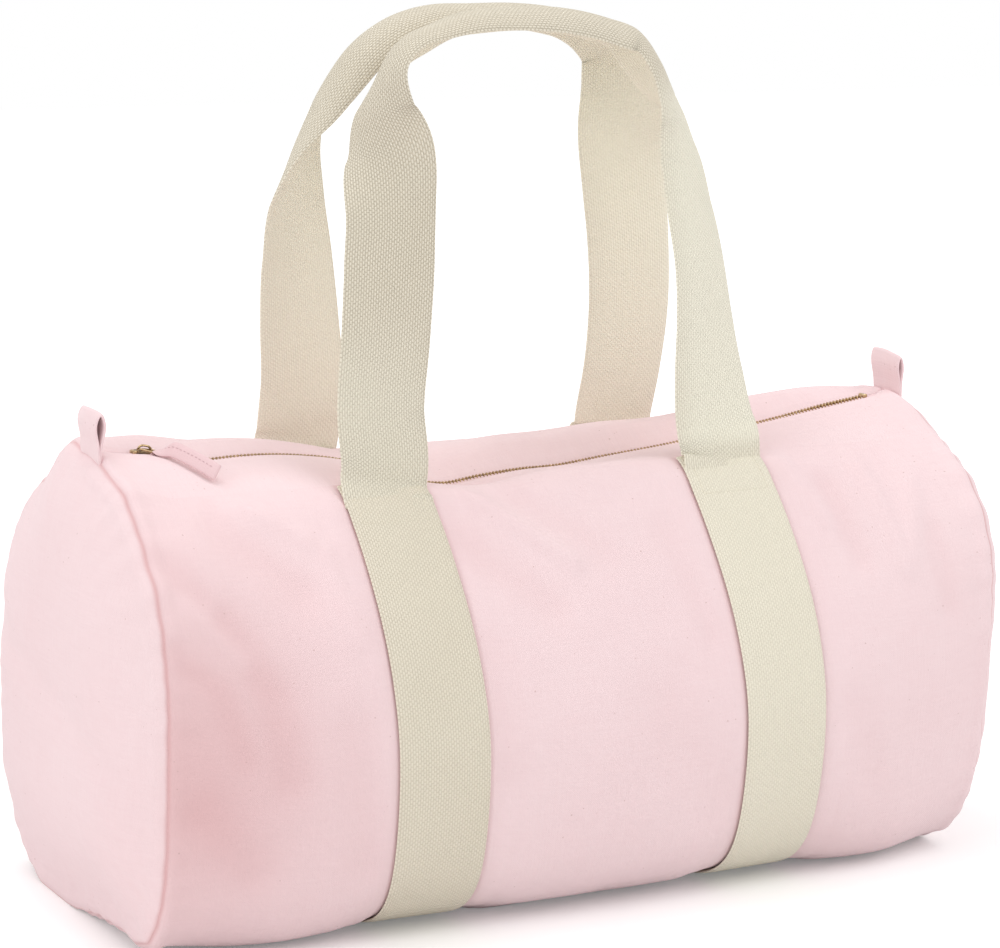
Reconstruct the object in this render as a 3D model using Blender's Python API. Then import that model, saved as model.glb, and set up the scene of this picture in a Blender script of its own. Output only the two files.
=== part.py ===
"""A canvas barrel bag with webbing handles and a brass zip.

X runs along the bag, -Y is its front and Z is up.
The origin is on the floor, under the middle of the bag.
"""
import bpy
import numpy as np
from math import asin, ceil, cos, pi, radians, sin, sqrt

# Gaps between neighbouring pieces
GAP = 0.0003
HINGE_GAP = 0.0005
FLAP_END_GAP = 0.0006
CLOTH_GAP = 0.0005

# The bag's body
LENGTH = 0.500
CLOTH = 0.0018
END_DEPTH = 0.250
MIDDLE_DEPTH = 0.276
END_WIDEST_HEIGHT = 0.119
MIDDLE_WIDEST_HEIGHT = 0.096
SHOULDER_Y = 0.0575
SHOULDER_HEIGHT = 0.234
ZIP_DIP = 0.009
END_CROWN = 0.0205
ZIP_LOW_HEIGHT = SHOULDER_HEIGHT - ZIP_DIP
ZIP_END_HEIGHT = SHOULDER_HEIGHT + END_CROWN
FLOOR_PRESS = 0.0025
END_BULGE = 0.0205
END_ROUNDNESS = 2.55
MIDDLE_ROUNDNESS = 1.97
LOWER_ROUNDNESS = 4.2
HANG_DEPTH = 0.005
HANG_HEIGHT = 0.202
HANG_SPREAD = 0.035
HANG_FADE = 0.020
BELLY_DEPTH = 0.008
BELLY_HEIGHT = 0.099
BELLY_SPREAD = 0.050
PANEL_RING_SHARES = (0.1, 0.5, 0.8, 0.95, 1.0)
PANEL_ROUNDNESS = 3

# The webbing
WEBBING_WIDTH = 0.051
WEBBING = 0.0022
BAND_PLACE_SHARE = 0.206
BAND_CENTRE = LENGTH * BAND_PLACE_SHARE
BAND_START = 0.0035
CINCH_DEPTH = 0.003
CINCH_LIFT = 0.003
CINCH_FLAT = 0.030
CINCH_REACH = 0.050

# The handles
HANDLE_RISE = 0.2475
ARCH_GAP = 0.004
CURL_ANGLE = radians(135)
SMALLEST_CURL = radians(0.001)
TWIST_ANGLE = radians(90)
FRONT_LEFT_TWIST_SHARES = (0.64, 0.90)
FRONT_RIGHT_TWIST_SHARES = (0.0, 0.65)
REAR_LEFT_TWIST_SHARES = (0.25, 0.85)
REAR_RIGHT_TWIST_SHARES = (0.68, 0.92)
LEAN_END_SHARE = 0.96
FRONT_SPAN_SHARES = (-1.0, -0.975, -0.93, -0.875, -0.847, -0.82, -0.797, -0.757, -0.68, -0.55,
                     -0.36, -0.12, 0.12, 0.33, 0.51, 0.65, 0.75, 0.81, 0.865, 0.935,
                     0.995, 1.02, 1.01, 0.985, 1.0)
FRONT_RISE_SHARES = (0.0, 0.165, 0.29, 0.45, 0.59, 0.71, 0.80, 0.875, 0.93, 0.96,
                     0.98, 0.988, 0.987, 0.973, 0.952, 0.922, 0.875, 0.825, 0.76, 0.68,
                     0.575, 0.45, 0.30, 0.13, 0.0)
REAR_SPAN_SHARES = (-1.0, -0.985, -1.0, -1.05, -1.085, -1.065, -0.995, -0.885, -0.76, -0.59,
                    -0.37, -0.10, 0.16, 0.40, 0.60, 0.73, 0.81, 0.85, 0.88, 0.94,
                    1.0, 1.04, 1.035, 1.0)
REAR_RISE_SHARES = (0.0, 0.12, 0.29, 0.45, 0.57, 0.68, 0.77, 0.855, 0.912, 0.952,
                    0.983, 0.998, 1.0, 0.987, 0.972, 0.945, 0.895, 0.82, 0.71, 0.59,
                    0.45, 0.30, 0.15, 0.0)
HANDLE_STEPS = 44
HANDLE_COLUMNS = 6
CURVE_STEPS = 20

# The zip
ZIP_HALF = 0.0055
FLAP_INSET = 0.018
FLAP_HALF = LENGTH / 2 - FLAP_INSET
TAPE = 0.0007
TAPE_INNER = 0.0037
TAPE_OUTER = 0.016
TOOTH_INNER = 0.0006
TOOTH_OUTER = 0.0034
TOOTH_THICKNESS = 0.0024
TOOTH_PITCH = 0.009
TOOTH_SHARE = 0.42
HALF_PITCH_SHARE = 0.5
TOOTH_BAR = 0.0010

# The slider, its bridge and its pull
SLIDER_INSET = 0.018
SLIDER_X = FLAP_HALF - SLIDER_INSET
SLIDER_LENGTH = 0.011
SLIDER_HALF = 0.0046
SLIDER_PLATE = 0.0013
POST_HALF = 0.0003
BRIDGE_LENGTH = 0.0082
BRIDGE_WIDTH = 0.0015
BRIDGE_HEIGHT = 0.0038
BRIDGE_WALL = 0.0009
RING_WIRE = 0.0008
RING_HALF = 0.0050
RING_REACH = 0.0095
RING_ROUND = 0.0012
PULL_LENGTH = 0.041
PULL_WIDTH = 0.0080
PULL_CLOTH = 0.0008
PULL_HOLLOW = 0.0006
PULL_TURN = radians(62)
PULL_DROP = radians(-0.5)
STOP_LENGTH = 0.003

# The end loops, the seam bindings and the stitching
TAB_WIDTH = 0.026
TAB_RISE = 0.023
TAB_HOLLOW = 0.0070
TAB_CLOTH = 0.0018
TAB_LEAN = 0.002
FOLD_SHARE = 0.6
BINDING_WIDTH = 0.011
BINDING = 0.0012
STITCH_THICKNESS = 0.0006
STITCH_INSET = 0.006
STITCH_WIDTH = 0.0015
STITCH_LENGTH = 0.030

# How finely the surfaces are divided
LENGTH_STEP = 0.0276
WRAP_STEPS = 34
TOP_STEPS = 4
SECTION_SAMPLES = 400
LOOP_STEPS = 10
CORNER_STEPS = 4


def smooth(low, high, value):
    """A smooth step from 0 at low to 1 at high."""
    share = np.clip((value - low) / (high - low), 0, 1)
    return share * share * (3 - 2 * share)


def arc_radius():
    """The radius of the shallow arc that the zip sags along."""
    sag = ZIP_END_HEIGHT - ZIP_LOW_HEIGHT
    return (LENGTH * LENGTH / 4 + sag * sag) / (2 * sag)


def zip_height(x):
    """The height of the cloth's top at the zip line, on the arc."""
    radius = arc_radius()
    return ZIP_LOW_HEIGHT + radius - np.sqrt(radius * radius - x * x)


def top_height(x, y):
    """The cloth between the shoulder lines: a parabola across the bag through the zip line."""
    share = y / SHOULDER_Y
    return SHOULDER_HEIGHT + (zip_height(x) - SHOULDER_HEIGHT) * (1 - share * share)


def cinch(x):
    """How much the bands pull the body in: 1 under a band and 0 away from it."""
    near_left = smooth(CINCH_REACH, CINCH_FLAT, abs(x + BAND_CENTRE))
    near_right = smooth(CINCH_REACH, CINCH_FLAT, abs(x - BAND_CENTRE))
    return near_left + near_right


def half_depth(x):
    """Half the bag's depth at its widest height: fuller towards the middle."""
    share = 2 * x / LENGTH
    bulge = (MIDDLE_DEPTH - END_DEPTH) * (1 - share * share)
    return (END_DEPTH + bulge) / 2 - CINCH_DEPTH * cinch(x)


def widest_height(x):
    """The height where the section is deepest: lower in the middle, where the cloth sags."""
    share = 2 * x / LENGTH
    return MIDDLE_WIDEST_HEIGHT + (END_WIDEST_HEIGHT - MIDDLE_WIDEST_HEIGHT) * share * share


def upper_roundness(x):
    """How square the section's upper part is: squarer at the end seams, which hold it up."""
    share = 2 * x / LENGTH
    return MIDDLE_ROUNDNESS + (END_ROUNDNESS - MIDDLE_ROUNDNESS) * share * share


def half_section(x):
    """The front half of the section at x, from the shoulder line down to the base's middle.

    Above the widest height it is a superellipse through the shoulder line.
    Below it is a squarer one, pressed flat where it would pass under the floor.
    """
    wide = half_depth(x)
    widest = widest_height(x)
    roundness = upper_roundness(x)
    inside = (1 - (SHOULDER_Y / wide) ** roundness) ** (1 / roundness)
    crown = (SHOULDER_HEIGHT - widest) / inside
    start = asin(inside ** (roundness / 2))
    angle = np.linspace(start, -pi / 2, SECTION_SAMPLES)
    upper = angle >= 0
    power = np.where(upper, 2 / roundness, 2 / LOWER_ROUNDNESS)
    across = np.maximum(np.cos(angle), 0)
    y = -wide * across ** power
    up = np.abs(np.sin(angle)) ** power
    low = widest - (widest + FLOOR_PRESS) * up
    z = np.where(upper, widest + crown * up, np.maximum(low, 0))
    depth_share = np.clip(1 - z / widest, 0, 1)
    z = z + CINCH_LIFT * cinch(x) * depth_share ** 2
    return y + sag(x, z), z


def sag(x, z):
    """How the weight of the cloth shapes the front half: it hangs straighter below the shoulder
    line, which draws it in, and bellies out lower down. Both fade to nothing at the end seams.
    """
    share = 2 * x / LENGTH
    middle = 1 - share ** 4
    hang = np.exp(-((z - HANG_HEIGHT) / HANG_SPREAD) ** 2)
    hang = hang * smooth(SHOULDER_HEIGHT, SHOULDER_HEIGHT - HANG_FADE, z)
    belly = np.exp(-((z - BELLY_HEIGHT) / BELLY_SPREAD) ** 2)
    return middle * (HANG_DEPTH * hang - BELLY_DEPTH * belly)


def wrap_section(x):
    """Points at even steps along the section, from the front shoulder line to the rear one.

    The first and last step are the short ones between a shoulder line and a band's end.
    """
    y, z = half_section(x)
    full_y = np.concatenate([y, -y[-2::-1]])
    full_z = np.concatenate([z, z[-2::-1]])
    run = np.concatenate([[0], np.cumsum(np.hypot(np.diff(full_y), np.diff(full_z)))])
    even = np.linspace(BAND_START, run[-1] - BAND_START, WRAP_STEPS - 1)
    stops = np.concatenate([[0], even, [run[-1]]])
    return np.interp(stops, run, full_y), np.interp(stops, run, full_z)


def full_section(x):
    """The section from the front zip edge, round the base, to the rear zip edge."""
    wrap_y, wrap_z = wrap_section(x)
    top_y = np.linspace(-ZIP_HALF, -SHOULDER_Y, TOP_STEPS + 1)[:-1]
    top_z = top_height(x, top_y)
    y = np.concatenate([top_y, wrap_y, -top_y[::-1]])
    z = np.concatenate([top_z, wrap_z, top_z[::-1]])
    return np.stack([np.full_like(y, x), y, z], axis=1)


def stations():
    """The places along X where a section is taken, with a line at each edge of a band."""
    half_band = WEBBING_WIDTH / 2
    marks = {0, FLAP_HALF, LENGTH / 2 - BINDING_WIDTH, LENGTH / 2}
    for reach in (0, half_band, -half_band, CINCH_REACH, -CINCH_REACH):
        marks.add(BAND_CENTRE + reach)
    ordered = sorted(marks)
    places = [0]
    for low, high in zip(ordered[:-1], ordered[1:]):
        count = max(1, ceil((high - low) / LENGTH_STEP))
        places.extend(np.linspace(low, high, count + 1)[1:])
    positive = np.array(places)
    return np.concatenate([-positive[:0:-1], positive])


def grid_normals(points):
    """The outward normals of a grid whose rows run along X and whose columns wrap the bag.

    Between the shoulder lines they point straight up, as the flaps' thickness does.
    """
    along = np.gradient(points, axis=0)
    around = np.gradient(points, axis=1)
    normal = np.cross(around, along)
    normal[:, :TOP_STEPS + 1] = (0, 0, 1)
    normal[:, TOP_STEPS + WRAP_STEPS:] = (0, 0, 1)
    length = np.linalg.norm(normal, axis=2, keepdims=True)
    return normal / length


def material(name, colour, roughness, metallic=0.0):
    """A plain finish with the piece's colour."""
    finish = bpy.data.materials.new(name)
    finish.use_nodes = True
    shader = finish.node_tree.nodes["Principled BSDF"]
    shader.inputs["Base Color"].default_value = (*colour, 1)
    shader.inputs["Roughness"].default_value = roughness
    shader.inputs["Metallic"].default_value = metallic
    return finish


def add_piece(name, points, faces, finish, origin=(0, 0, 0)):
    """One named object from points in the bag's frame, with its origin where it turns."""
    mesh = bpy.data.meshes.new(name)
    placed = np.asarray(points) - np.asarray(origin)
    mesh.from_pydata(placed.tolist(), [], faces)
    mesh.validate()
    mesh.materials.append(finish)
    mesh.shade_smooth()
    mesh.set_sharp_from_angle(angle=radians(35))
    piece = bpy.data.objects.new(name, mesh)
    piece.location = origin
    bpy.context.collection.objects.link(piece)
    return piece


def shell(name, outer, inner, finish, keep=None, origin=(0, 0, 0)):
    """A closed shell between two grids, with a wall along each edge of the kept cells."""
    rows, columns = outer.shape[:2]
    if keep is None:
        keep = np.ones((rows - 1, columns - 1), bool)
    used = {}
    points = []

    def corner(row, column, side):
        key = (row, column, side)
        if key not in used:
            used[key] = len(points)
            points.append((outer, inner)[side][row, column])
        return used[key]

    padded = np.zeros((rows + 1, columns + 1), bool)
    padded[1:-1, 1:-1] = keep
    faces = []
    for row in range(rows - 1):
        for column in range(columns - 1):
            if not keep[row, column]:
                continue
            ring = [(row, column), (row, column + 1), (row + 1, column + 1), (row + 1, column)]
            faces.append([corner(*place, 0) for place in ring])
            faces.append([corner(*place, 1) for place in reversed(ring)])
            beside = [(row - 1, column), (row, column + 1), (row + 1, column), (row, column - 1)]
            for side in range(4):
                next_row, next_column = beside[side]
                if padded[next_row + 1, next_column + 1]:
                    continue
                first = ring[side]
                last = ring[(side + 1) % 4]
                wall = [(last, 0), (first, 0), (first, 1), (last, 1)]
                faces.append([corner(*place, face) for place, face in wall])
    return add_piece(name, points, faces, finish, origin)


def prism(name, outline, along, finish, origin=(0, 0, 0)):
    """A flat outline of 3-D points carried along a straight vector, closed at both ends."""
    near = np.asarray(outline, float)
    far = near + np.asarray(along, float)
    count = len(near)
    faces = [list(range(count))[::-1], list(range(count, 2 * count))]
    for place in range(count):
        after = (place + 1) % count
        faces.append([place, after, after + count, place + count])
    return add_piece(name, np.concatenate([near, far]), faces, finish, origin)


def block(name, low, high, finish, origin=(0, 0, 0)):
    """A box between its low corner and its high one."""
    outline = [(low[0], low[1], low[2]), (low[0], high[1], low[2]),
               (low[0], high[1], high[2]), (low[0], low[1], high[2])]
    return prism(name, outline, (high[0] - low[0], 0, 0), finish, origin)


def loop_piece(name, path, thickness, across, place, finish, origin=(0, 0, 0)):
    """A strip bent into a closed loop.

    path is the middle of the strip's thickness, as flat points in counterclockwise order.
    across is the strip's low and high edge, and place turns flat points into the bag's frame.
    """
    path = np.asarray(path, float)
    step = np.roll(path, -1, axis=0) - np.roll(path, 1, axis=0)
    step = step / np.linalg.norm(step, axis=1, keepdims=True)
    side = np.stack([step[:, 1], -step[:, 0]], axis=1)
    outer = path + side * thickness / 2
    inner = path - side * thickness / 2
    low, high = across
    rings = [place(outer, low), place(outer, high), place(inner, high), place(inner, low)]
    count = len(path)
    faces = []
    for ring in range(4):
        next_ring = (ring + 1) % 4
        for here in range(count):
            after = (here + 1) % count
            faces.append([ring * count + here, ring * count + after,
                          next_ring * count + after, next_ring * count + here])
    return add_piece(name, np.concatenate(rings), faces, finish, origin)


def teardrop(length, half_tip, half_head, steps):
    """A loop around a round head at the origin that narrows to a fold at -length."""
    turn = np.linspace(-pi / 2, pi / 2, steps)
    head = np.stack([half_head * np.cos(turn), half_head * np.sin(turn)], axis=1)
    tip = np.stack([-length - half_tip * np.cos(turn), -half_tip * np.sin(turn)], axis=1)
    return np.concatenate([head, tip])


def rounded_rectangle(half_width, low, high, radius, steps):
    """A rectangle from low to high along its first axis, with round corners."""
    points = []
    centres = ((high - radius, half_width - radius), (low + radius, half_width - radius),
               (low + radius, radius - half_width), (high - radius, radius - half_width))
    for number, centre in enumerate(centres):
        for angle in np.linspace(0, pi / 2, steps):
            turn = angle + number * pi / 2
            points.append((centre[0] + radius * cos(turn), centre[1] + radius * sin(turn)))
    return points


def smooth_path(points, count):
    """Even steps along a Catmull-Rom curve through the points."""
    points = np.asarray(points, float)
    before = 2 * points[:1] - points[1:2]
    after = 2 * points[-1:] - points[-2:-1]
    guide = np.concatenate([before, points, after])
    pieces = []
    for place in range(len(points) - 1):
        a, b, c, d = guide[place:place + 4]
        t = np.linspace(0, 1, CURVE_STEPS, endpoint=False)[:, None]
        pieces.append(0.5 * (2 * b + (c - a) * t + (2 * a - 5 * b + 4 * c - d) * t ** 2
                             + (3 * b - a - 3 * c + d) * t ** 3))
    curve = np.concatenate(pieces + [points[-1:]])
    run = np.concatenate([[0], np.cumsum(np.linalg.norm(np.diff(curve, axis=0), axis=1))])
    even = np.linspace(0, run[-1], count)
    return np.stack([np.interp(even, run, curve[:, axis]) for axis in range(curve.shape[1])], axis=1)


def handle_grid(span_shares, rise_shares, left_twist, right_twist, hinge_y, hinge_height, outward):
    """The outer and inner face of a handle.

    The webbing rises flat from one band, twists so that its outer face turns up, curls
    round its middle as it arches over, and comes down to the other band. left_twist and
    right_twist are the shares of the rise between which each leg twists. hinge_y is where
    the handle turns, and outward is -1 for the front handle and 1 for the rear one.
    """
    base_y = hinge_y - outward * (WEBBING / 2 + GAP)
    bend = CURL_ANGLE / 2
    half_arch = WEBBING_WIDTH / CURL_ANGLE * sin(bend)
    arch_y = outward * (half_arch + ARCH_GAP / 2)
    points = []
    for span, rise in zip(span_shares, rise_shares):
        lean = min(1.0, rise / LEAN_END_SHARE)
        points.append((span * BAND_CENTRE, base_y + (arch_y - base_y) * lean,
                       hinge_height + HANDLE_RISE * rise))
    path = smooth_path(points, HANDLE_STEPS)
    forward = np.gradient(path, axis=0)
    forward /= np.linalg.norm(forward, axis=1, keepdims=True)
    forward[0] = (0, 0, 1)
    forward[-1] = (0, 0, -1)
    face = np.array([0.0, outward, 0.0]) - forward * (forward[:, 1:2] * outward)
    face /= np.linalg.norm(face, axis=1, keepdims=True)
    away = np.cross(face, forward) * -outward
    rise = (path[:, 2] - hinge_height) / HANDLE_RISE
    left_turned = smooth(*left_twist, rise)
    right_turned = smooth(*right_twist, rise)
    turned = np.where(path[:, 0] < 0, left_turned, right_turned)[:, None]
    twist = TWIST_ANGLE * turned
    normal = face * np.cos(twist) + away * np.sin(twist)
    across = np.cross(forward, normal)
    curl = np.maximum(CURL_ANGLE * turned, SMALLEST_CURL)
    share = np.linspace(-1, 1, HANDLE_COLUMNS + 1)[None, :]
    angle = curl * share / 2
    radius = WEBBING_WIDTH / curl
    sideways = (radius * np.sin(angle))[..., None]
    back = (radius * (1 - np.cos(angle)))[..., None]
    middle = path[:, None, :] + across[:, None, :] * sideways - normal[:, None, :] * back
    skin = normal[:, None, :] * np.cos(angle)[..., None] + across[:, None, :] * np.sin(angle)[..., None]
    return middle + skin * WEBBING / 2, middle - skin * WEBBING / 2


def on_band(surface, run, span, marks, shares):
    """Points on a band's surface at distances along it and shares of its width."""
    lines = [[np.interp(marks, run, row[:, axis]) for axis in range(3)] for row in surface]
    lines = np.transpose(np.array(lines), (0, 2, 1))
    columns = [[np.interp(shares, span, lines[:, mark, axis]) for axis in range(3)]
               for mark in range(len(marks))]
    return np.transpose(np.array(columns), (2, 0, 1))


def slider_place(local):
    """Points given about the zip's lowest place, carried along the arc to the slider's rest."""
    local = np.asarray(local, float)
    radius = arc_radius()
    turn = -asin(SLIDER_X / radius)
    centre = ZIP_LOW_HEIGHT + radius
    below = local[..., 2] + ZIP_LOW_HEIGHT - centre
    x = local[..., 0] * cos(turn) - below * sin(turn)
    z = centre + local[..., 0] * sin(turn) + below * cos(turn)
    return np.stack([x, local[..., 1], z], axis=-1)


for old in list(bpy.data.objects):
    bpy.data.objects.remove(old, do_unlink=True)

CANVAS = material("canvas", (0.83, 0.66, 0.66), 0.9)
COTTON = material("webbing", (0.75, 0.69, 0.57), 0.85)
BRASS = material("antique_brass", (0.33, 0.22, 0.11), 0.35, 1.0)
TAPE_CLOTH = material("zip_tape", (0.80, 0.64, 0.62), 0.9)
THREAD = material("thread", (0.80, 0.75, 0.65), 0.7)

# The body: one cloth from the front zip edge, round the base, to the rear zip edge
places = stations()
body = np.array([full_section(x) for x in places])
normals = grid_normals(body)
inside = body - normals * CLOTH
mouth_columns = list(range(TOP_STEPS)) + list(range(TOP_STEPS + WRAP_STEPS, 2 * TOP_STEPS + WRAP_STEPS))
keep = np.ones((len(places) - 1, body.shape[1] - 1), bool)
middles = (places[:-1] + places[1:]) / 2
for column in mouth_columns:
    keep[abs(middles) < FLAP_HALF, column] = False
shell("body_panel", body, inside, CANVAS, keep)

# The mouth's two flaps, which turn about the shoulder lines
flap_places = places[abs(places) < FLAP_HALF - FLAP_END_GAP]
flap_end = FLAP_HALF - FLAP_END_GAP
flap_places = np.concatenate([[-flap_end], flap_places, [flap_end]])
for name, side in (("front", -1), ("rear", 1)):
    low_y = side * (SHOULDER_Y - HINGE_GAP)
    hinge = (0, side * (SHOULDER_Y - HINGE_GAP), SHOULDER_HEIGHT)
    across_flap = np.linspace(low_y, side * ZIP_HALF, TOP_STEPS + 2)[::-side]
    flap_x, flap_y = np.meshgrid(flap_places, across_flap, indexing="ij")
    flap = np.stack([flap_x, flap_y, top_height(flap_x, flap_y)], axis=2)
    under = flap - np.array([0, 0, CLOTH])
    shell("mouth_flap_" + name, flap[::-1], under[::-1], CANVAS, origin=hinge)

    # The zip's tape lies under the flap, and its teeth stand at the tape's edge
    tape_y = np.sort([side * TAPE_INNER, side * (TAPE_INNER + TAPE_OUTER) / 2, side * TAPE_OUTER])[::-1]
    tape_x, tape_y = np.meshgrid(flap_places, tape_y, indexing="ij")
    drop = CLOTH + GAP
    tape = np.stack([tape_x, tape_y, top_height(tape_x, tape_y) - drop], axis=2)
    shell("zip_tape_" + name, tape, tape - np.array([0, 0, TAPE]), TAPE_CLOTH, origin=hinge)

    teeth_end = SLIDER_X + SLIDER_LENGTH / 2 + GAP
    tooth_count = int(2 * teeth_end / TOOTH_PITCH)
    pitch = 2 * teeth_end / (tooth_count + TOOTH_SHARE)
    # The rear teeth stand half a pitch on, so that the two rows pass between each other
    if side < 0:
        starts = -teeth_end + pitch * np.arange(tooth_count + 1)
    else:
        starts = -teeth_end + pitch * (np.arange(tooth_count) + HALF_PITCH_SHARE)
    tooth_x = np.stack([starts, starts + pitch * TOOTH_SHARE], axis=1).ravel()
    bar_y = TOOTH_OUTER - TOOTH_BAR
    rows_y = np.sort([side * TOOTH_INNER, side * bar_y, side * TOOTH_OUTER])[::-1]
    grid_x, grid_y = np.meshgrid(tooth_x, rows_y, indexing="ij")
    middle_drop = CLOTH + GAP + TAPE / 2
    level = zip_height(grid_x) - middle_drop
    upper = np.stack([grid_x, grid_y, level + TOOTH_THICKNESS / 2], axis=2)
    lower = np.stack([grid_x, grid_y, level - TOOTH_THICKNESS / 2], axis=2)
    toothed = np.ones((len(tooth_x) - 1, 2), bool)
    toothed[1::2, 0 if side < 0 else 1] = False
    shell("zip_teeth_" + name, upper, lower, BRASS, toothed, origin=hinge)

    # A small clip ends each row of teeth, just past the closed slider
    clip_low = teeth_end + GAP
    clip_z = zip_height(clip_low + STOP_LENGTH / 2) - middle_drop
    y_low, y_high = sorted((side * TOOTH_INNER, side * TOOTH_OUTER))
    block("zip_top_stop_" + name, (-clip_low - STOP_LENGTH, y_low, clip_z - TOOTH_THICKNESS / 2),
          (-clip_low, y_high, clip_z + TOOTH_THICKNESS / 2), BRASS, origin=hinge)

# The ends of the tape, fixed under the body's cloth
for name, side in (("left", -1), ("right", 1)):
    end_x = np.sort(side * np.array([FLAP_HALF + GAP, LENGTH / 2 - GAP]))
    end_y = np.array([TAPE_OUTER, ZIP_HALF, -ZIP_HALF, -TAPE_OUTER])
    grid_x, grid_y = np.meshgrid(end_x, end_y, indexing="ij")
    end_top = np.stack([grid_x, grid_y, top_height(grid_x, grid_y) - CLOTH - 2 * GAP], axis=2)
    shell("zip_end_" + name, end_top, end_top - np.array([0, 0, TAPE]), TAPE_CLOTH)
stop_x = FLAP_HALF + GAP
stop_low = zip_height(stop_x + STOP_LENGTH) - CLOTH - GAP
block("zip_bottom_stop", (stop_x, -TOOTH_OUTER, stop_low),
      (stop_x + STOP_LENGTH, TOOTH_OUTER, stop_low + TOOTH_THICKNESS / 2), BRASS)

# The end panels: discs of cloth that bulge outwards, and their bound seams inside
for name, side in (("left", -1), ("right", 1)):
    rim = full_section(side * LENGTH / 2)
    centre = np.array([0.0, 0.0, END_WIDEST_HEIGHT])
    rings = []
    for share in PANEL_RING_SHARES:
        ring = centre + (rim - centre) * share
        reach = LENGTH / 2 + GAP + CLOTH + END_BULGE * (1 - share ** PANEL_ROUNDNESS)
        ring[:, 0] = side * reach
        rings.append(ring)
    behind = []
    for ring in reversed(rings):
        back = ring.copy()
        back[:, 0] = ring[:, 0] - side * CLOTH
        behind.append(back)
    rings = rings + behind
    count = len(rim)
    faces = []
    for ring in range(len(rings) - 1):
        for here in range(count):
            after = (here + 1) % count
            faces.append([ring * count + here, ring * count + after,
                          (ring + 1) * count + after, (ring + 1) * count + here])
    faces.append(list(range(count))[::-1])
    last = (len(rings) - 1) * count
    faces.append(list(range(last, last + count)))
    if side > 0:
        faces = [face[::-1] for face in faces]
    add_piece("end_panel_" + name, np.concatenate(rings), faces, CANVAS)

    rows = abs(places) >= LENGTH / 2 - BINDING_WIDTH - GAP / 2
    rows = rows & (places * side > 0)
    lines = slice(TOP_STEPS, TOP_STEPS + WRAP_STEPS + 1)
    strip = (body - normals * (CLOTH + CLOTH_GAP))[rows, lines]
    deeper = (body - normals * (CLOTH + CLOTH_GAP + BINDING))[rows, lines]
    inset = LENGTH / 2 - GAP
    strip[..., 0] = np.clip(strip[..., 0], -inset, inset)
    deeper[..., 0] = strip[..., 0]
    shell("seam_binding_" + name, strip, deeper, TAPE_CLOTH)

    # A short loop of cloth stands on the seam
    loop_base = ZIP_END_HEIGHT + TAB_CLOTH / 2 + 2 * GAP
    loop_length = TAB_RISE - TAB_HOLLOW / 2 - TAB_CLOTH
    tab_fold = TAB_CLOTH * FOLD_SHARE
    outline = teardrop(loop_length, tab_fold, (TAB_HOLLOW + TAB_CLOTH) / 2, LOOP_STEPS)

    def stand(flat, y, side=side, base=loop_base, length=loop_length):
        rise = flat[:, 0] + length + tab_fold
        x = side * (LENGTH / 2 + TAB_LEAN * rise / length) + flat[:, 1]
        return np.stack([x, np.full(len(flat), y), base + rise], axis=1)

    loop_piece("side_tab_" + name, outline, TAB_CLOTH, (-TAB_WIDTH / 2, TAB_WIDTH / 2), stand, CANVAS)

# The webbing bands lie on the body from the front attachment, under the base, to the rear one
band_lines = slice(TOP_STEPS + 1, TOP_STEPS + WRAP_STEPS)
hinge_points = {}
for name, centre_x in (("left", -BAND_CENTRE), ("right", BAND_CENTRE)):
    rows = abs(places - centre_x) <= WEBBING_WIDTH / 2 + GAP / 2
    near = (body + normals * CLOTH_GAP)[rows, band_lines]
    far = (body + normals * (CLOTH_GAP + WEBBING))[rows, band_lines]
    shell("webbing_band_" + name, far, near, COTTON)
    hinge_points[name] = far

    # A sewn rectangle holds the webbing down below each attachment
    above = far + normals[rows, band_lines] * GAP
    top = above + normals[rows, band_lines] * STITCH_THICKNESS
    middle_line = top[len(top) // 2]
    run = np.concatenate([[0], np.cumsum(np.linalg.norm(np.diff(middle_line, axis=0), axis=1))])
    span = np.linspace(0, 1, top.shape[0])
    for place in ("front", "rear"):
        corners = np.array([STITCH_INSET, STITCH_INSET + STITCH_WIDTH,
                            STITCH_LENGTH - STITCH_WIDTH, STITCH_LENGTH])
        if place == "rear":
            corners = run[-1] - corners[::-1]
        between = run[(run > corners[1]) & (run < corners[2])]
        marks = np.sort(np.concatenate([corners, between]))
        width_share = np.array([STITCH_INSET, STITCH_INSET + STITCH_WIDTH]) / WEBBING_WIDTH
        across_shares = np.concatenate([width_share, 1 - width_share[::-1]])
        frame = np.ones((len(across_shares) - 1, len(marks) - 1), bool)
        frame[1:-1, 1:-1] = False
        upper = on_band(top, run, span, marks, across_shares)
        lower = on_band(above, run, span, marks, across_shares)
        shell("attach_stitch_" + place + "_" + name, upper, lower, THREAD, frame)

# The handles turn where the bands end
HINGE_HEIGHT = max(hinge_points["left"][:, 0, 2].max(), hinge_points["right"][:, 0, 2].max()) + GAP
HINGE_Y = abs(hinge_points["left"][:, 0, 1]).max()
front_shape = (FRONT_SPAN_SHARES, FRONT_RISE_SHARES, FRONT_LEFT_TWIST_SHARES, FRONT_RIGHT_TWIST_SHARES)
rear_shape = (REAR_SPAN_SHARES, REAR_RISE_SHARES, REAR_LEFT_TWIST_SHARES, REAR_RIGHT_TWIST_SHARES)
for name, shape, outward in (("front", front_shape, -1), ("rear", rear_shape, 1)):
    outer, inner = handle_grid(*shape, outward * HINGE_Y, HINGE_HEIGHT, outward)
    shell("handle_" + name, outer, inner, COTTON, origin=(0, outward * HINGE_Y, HINGE_HEIGHT))

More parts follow.
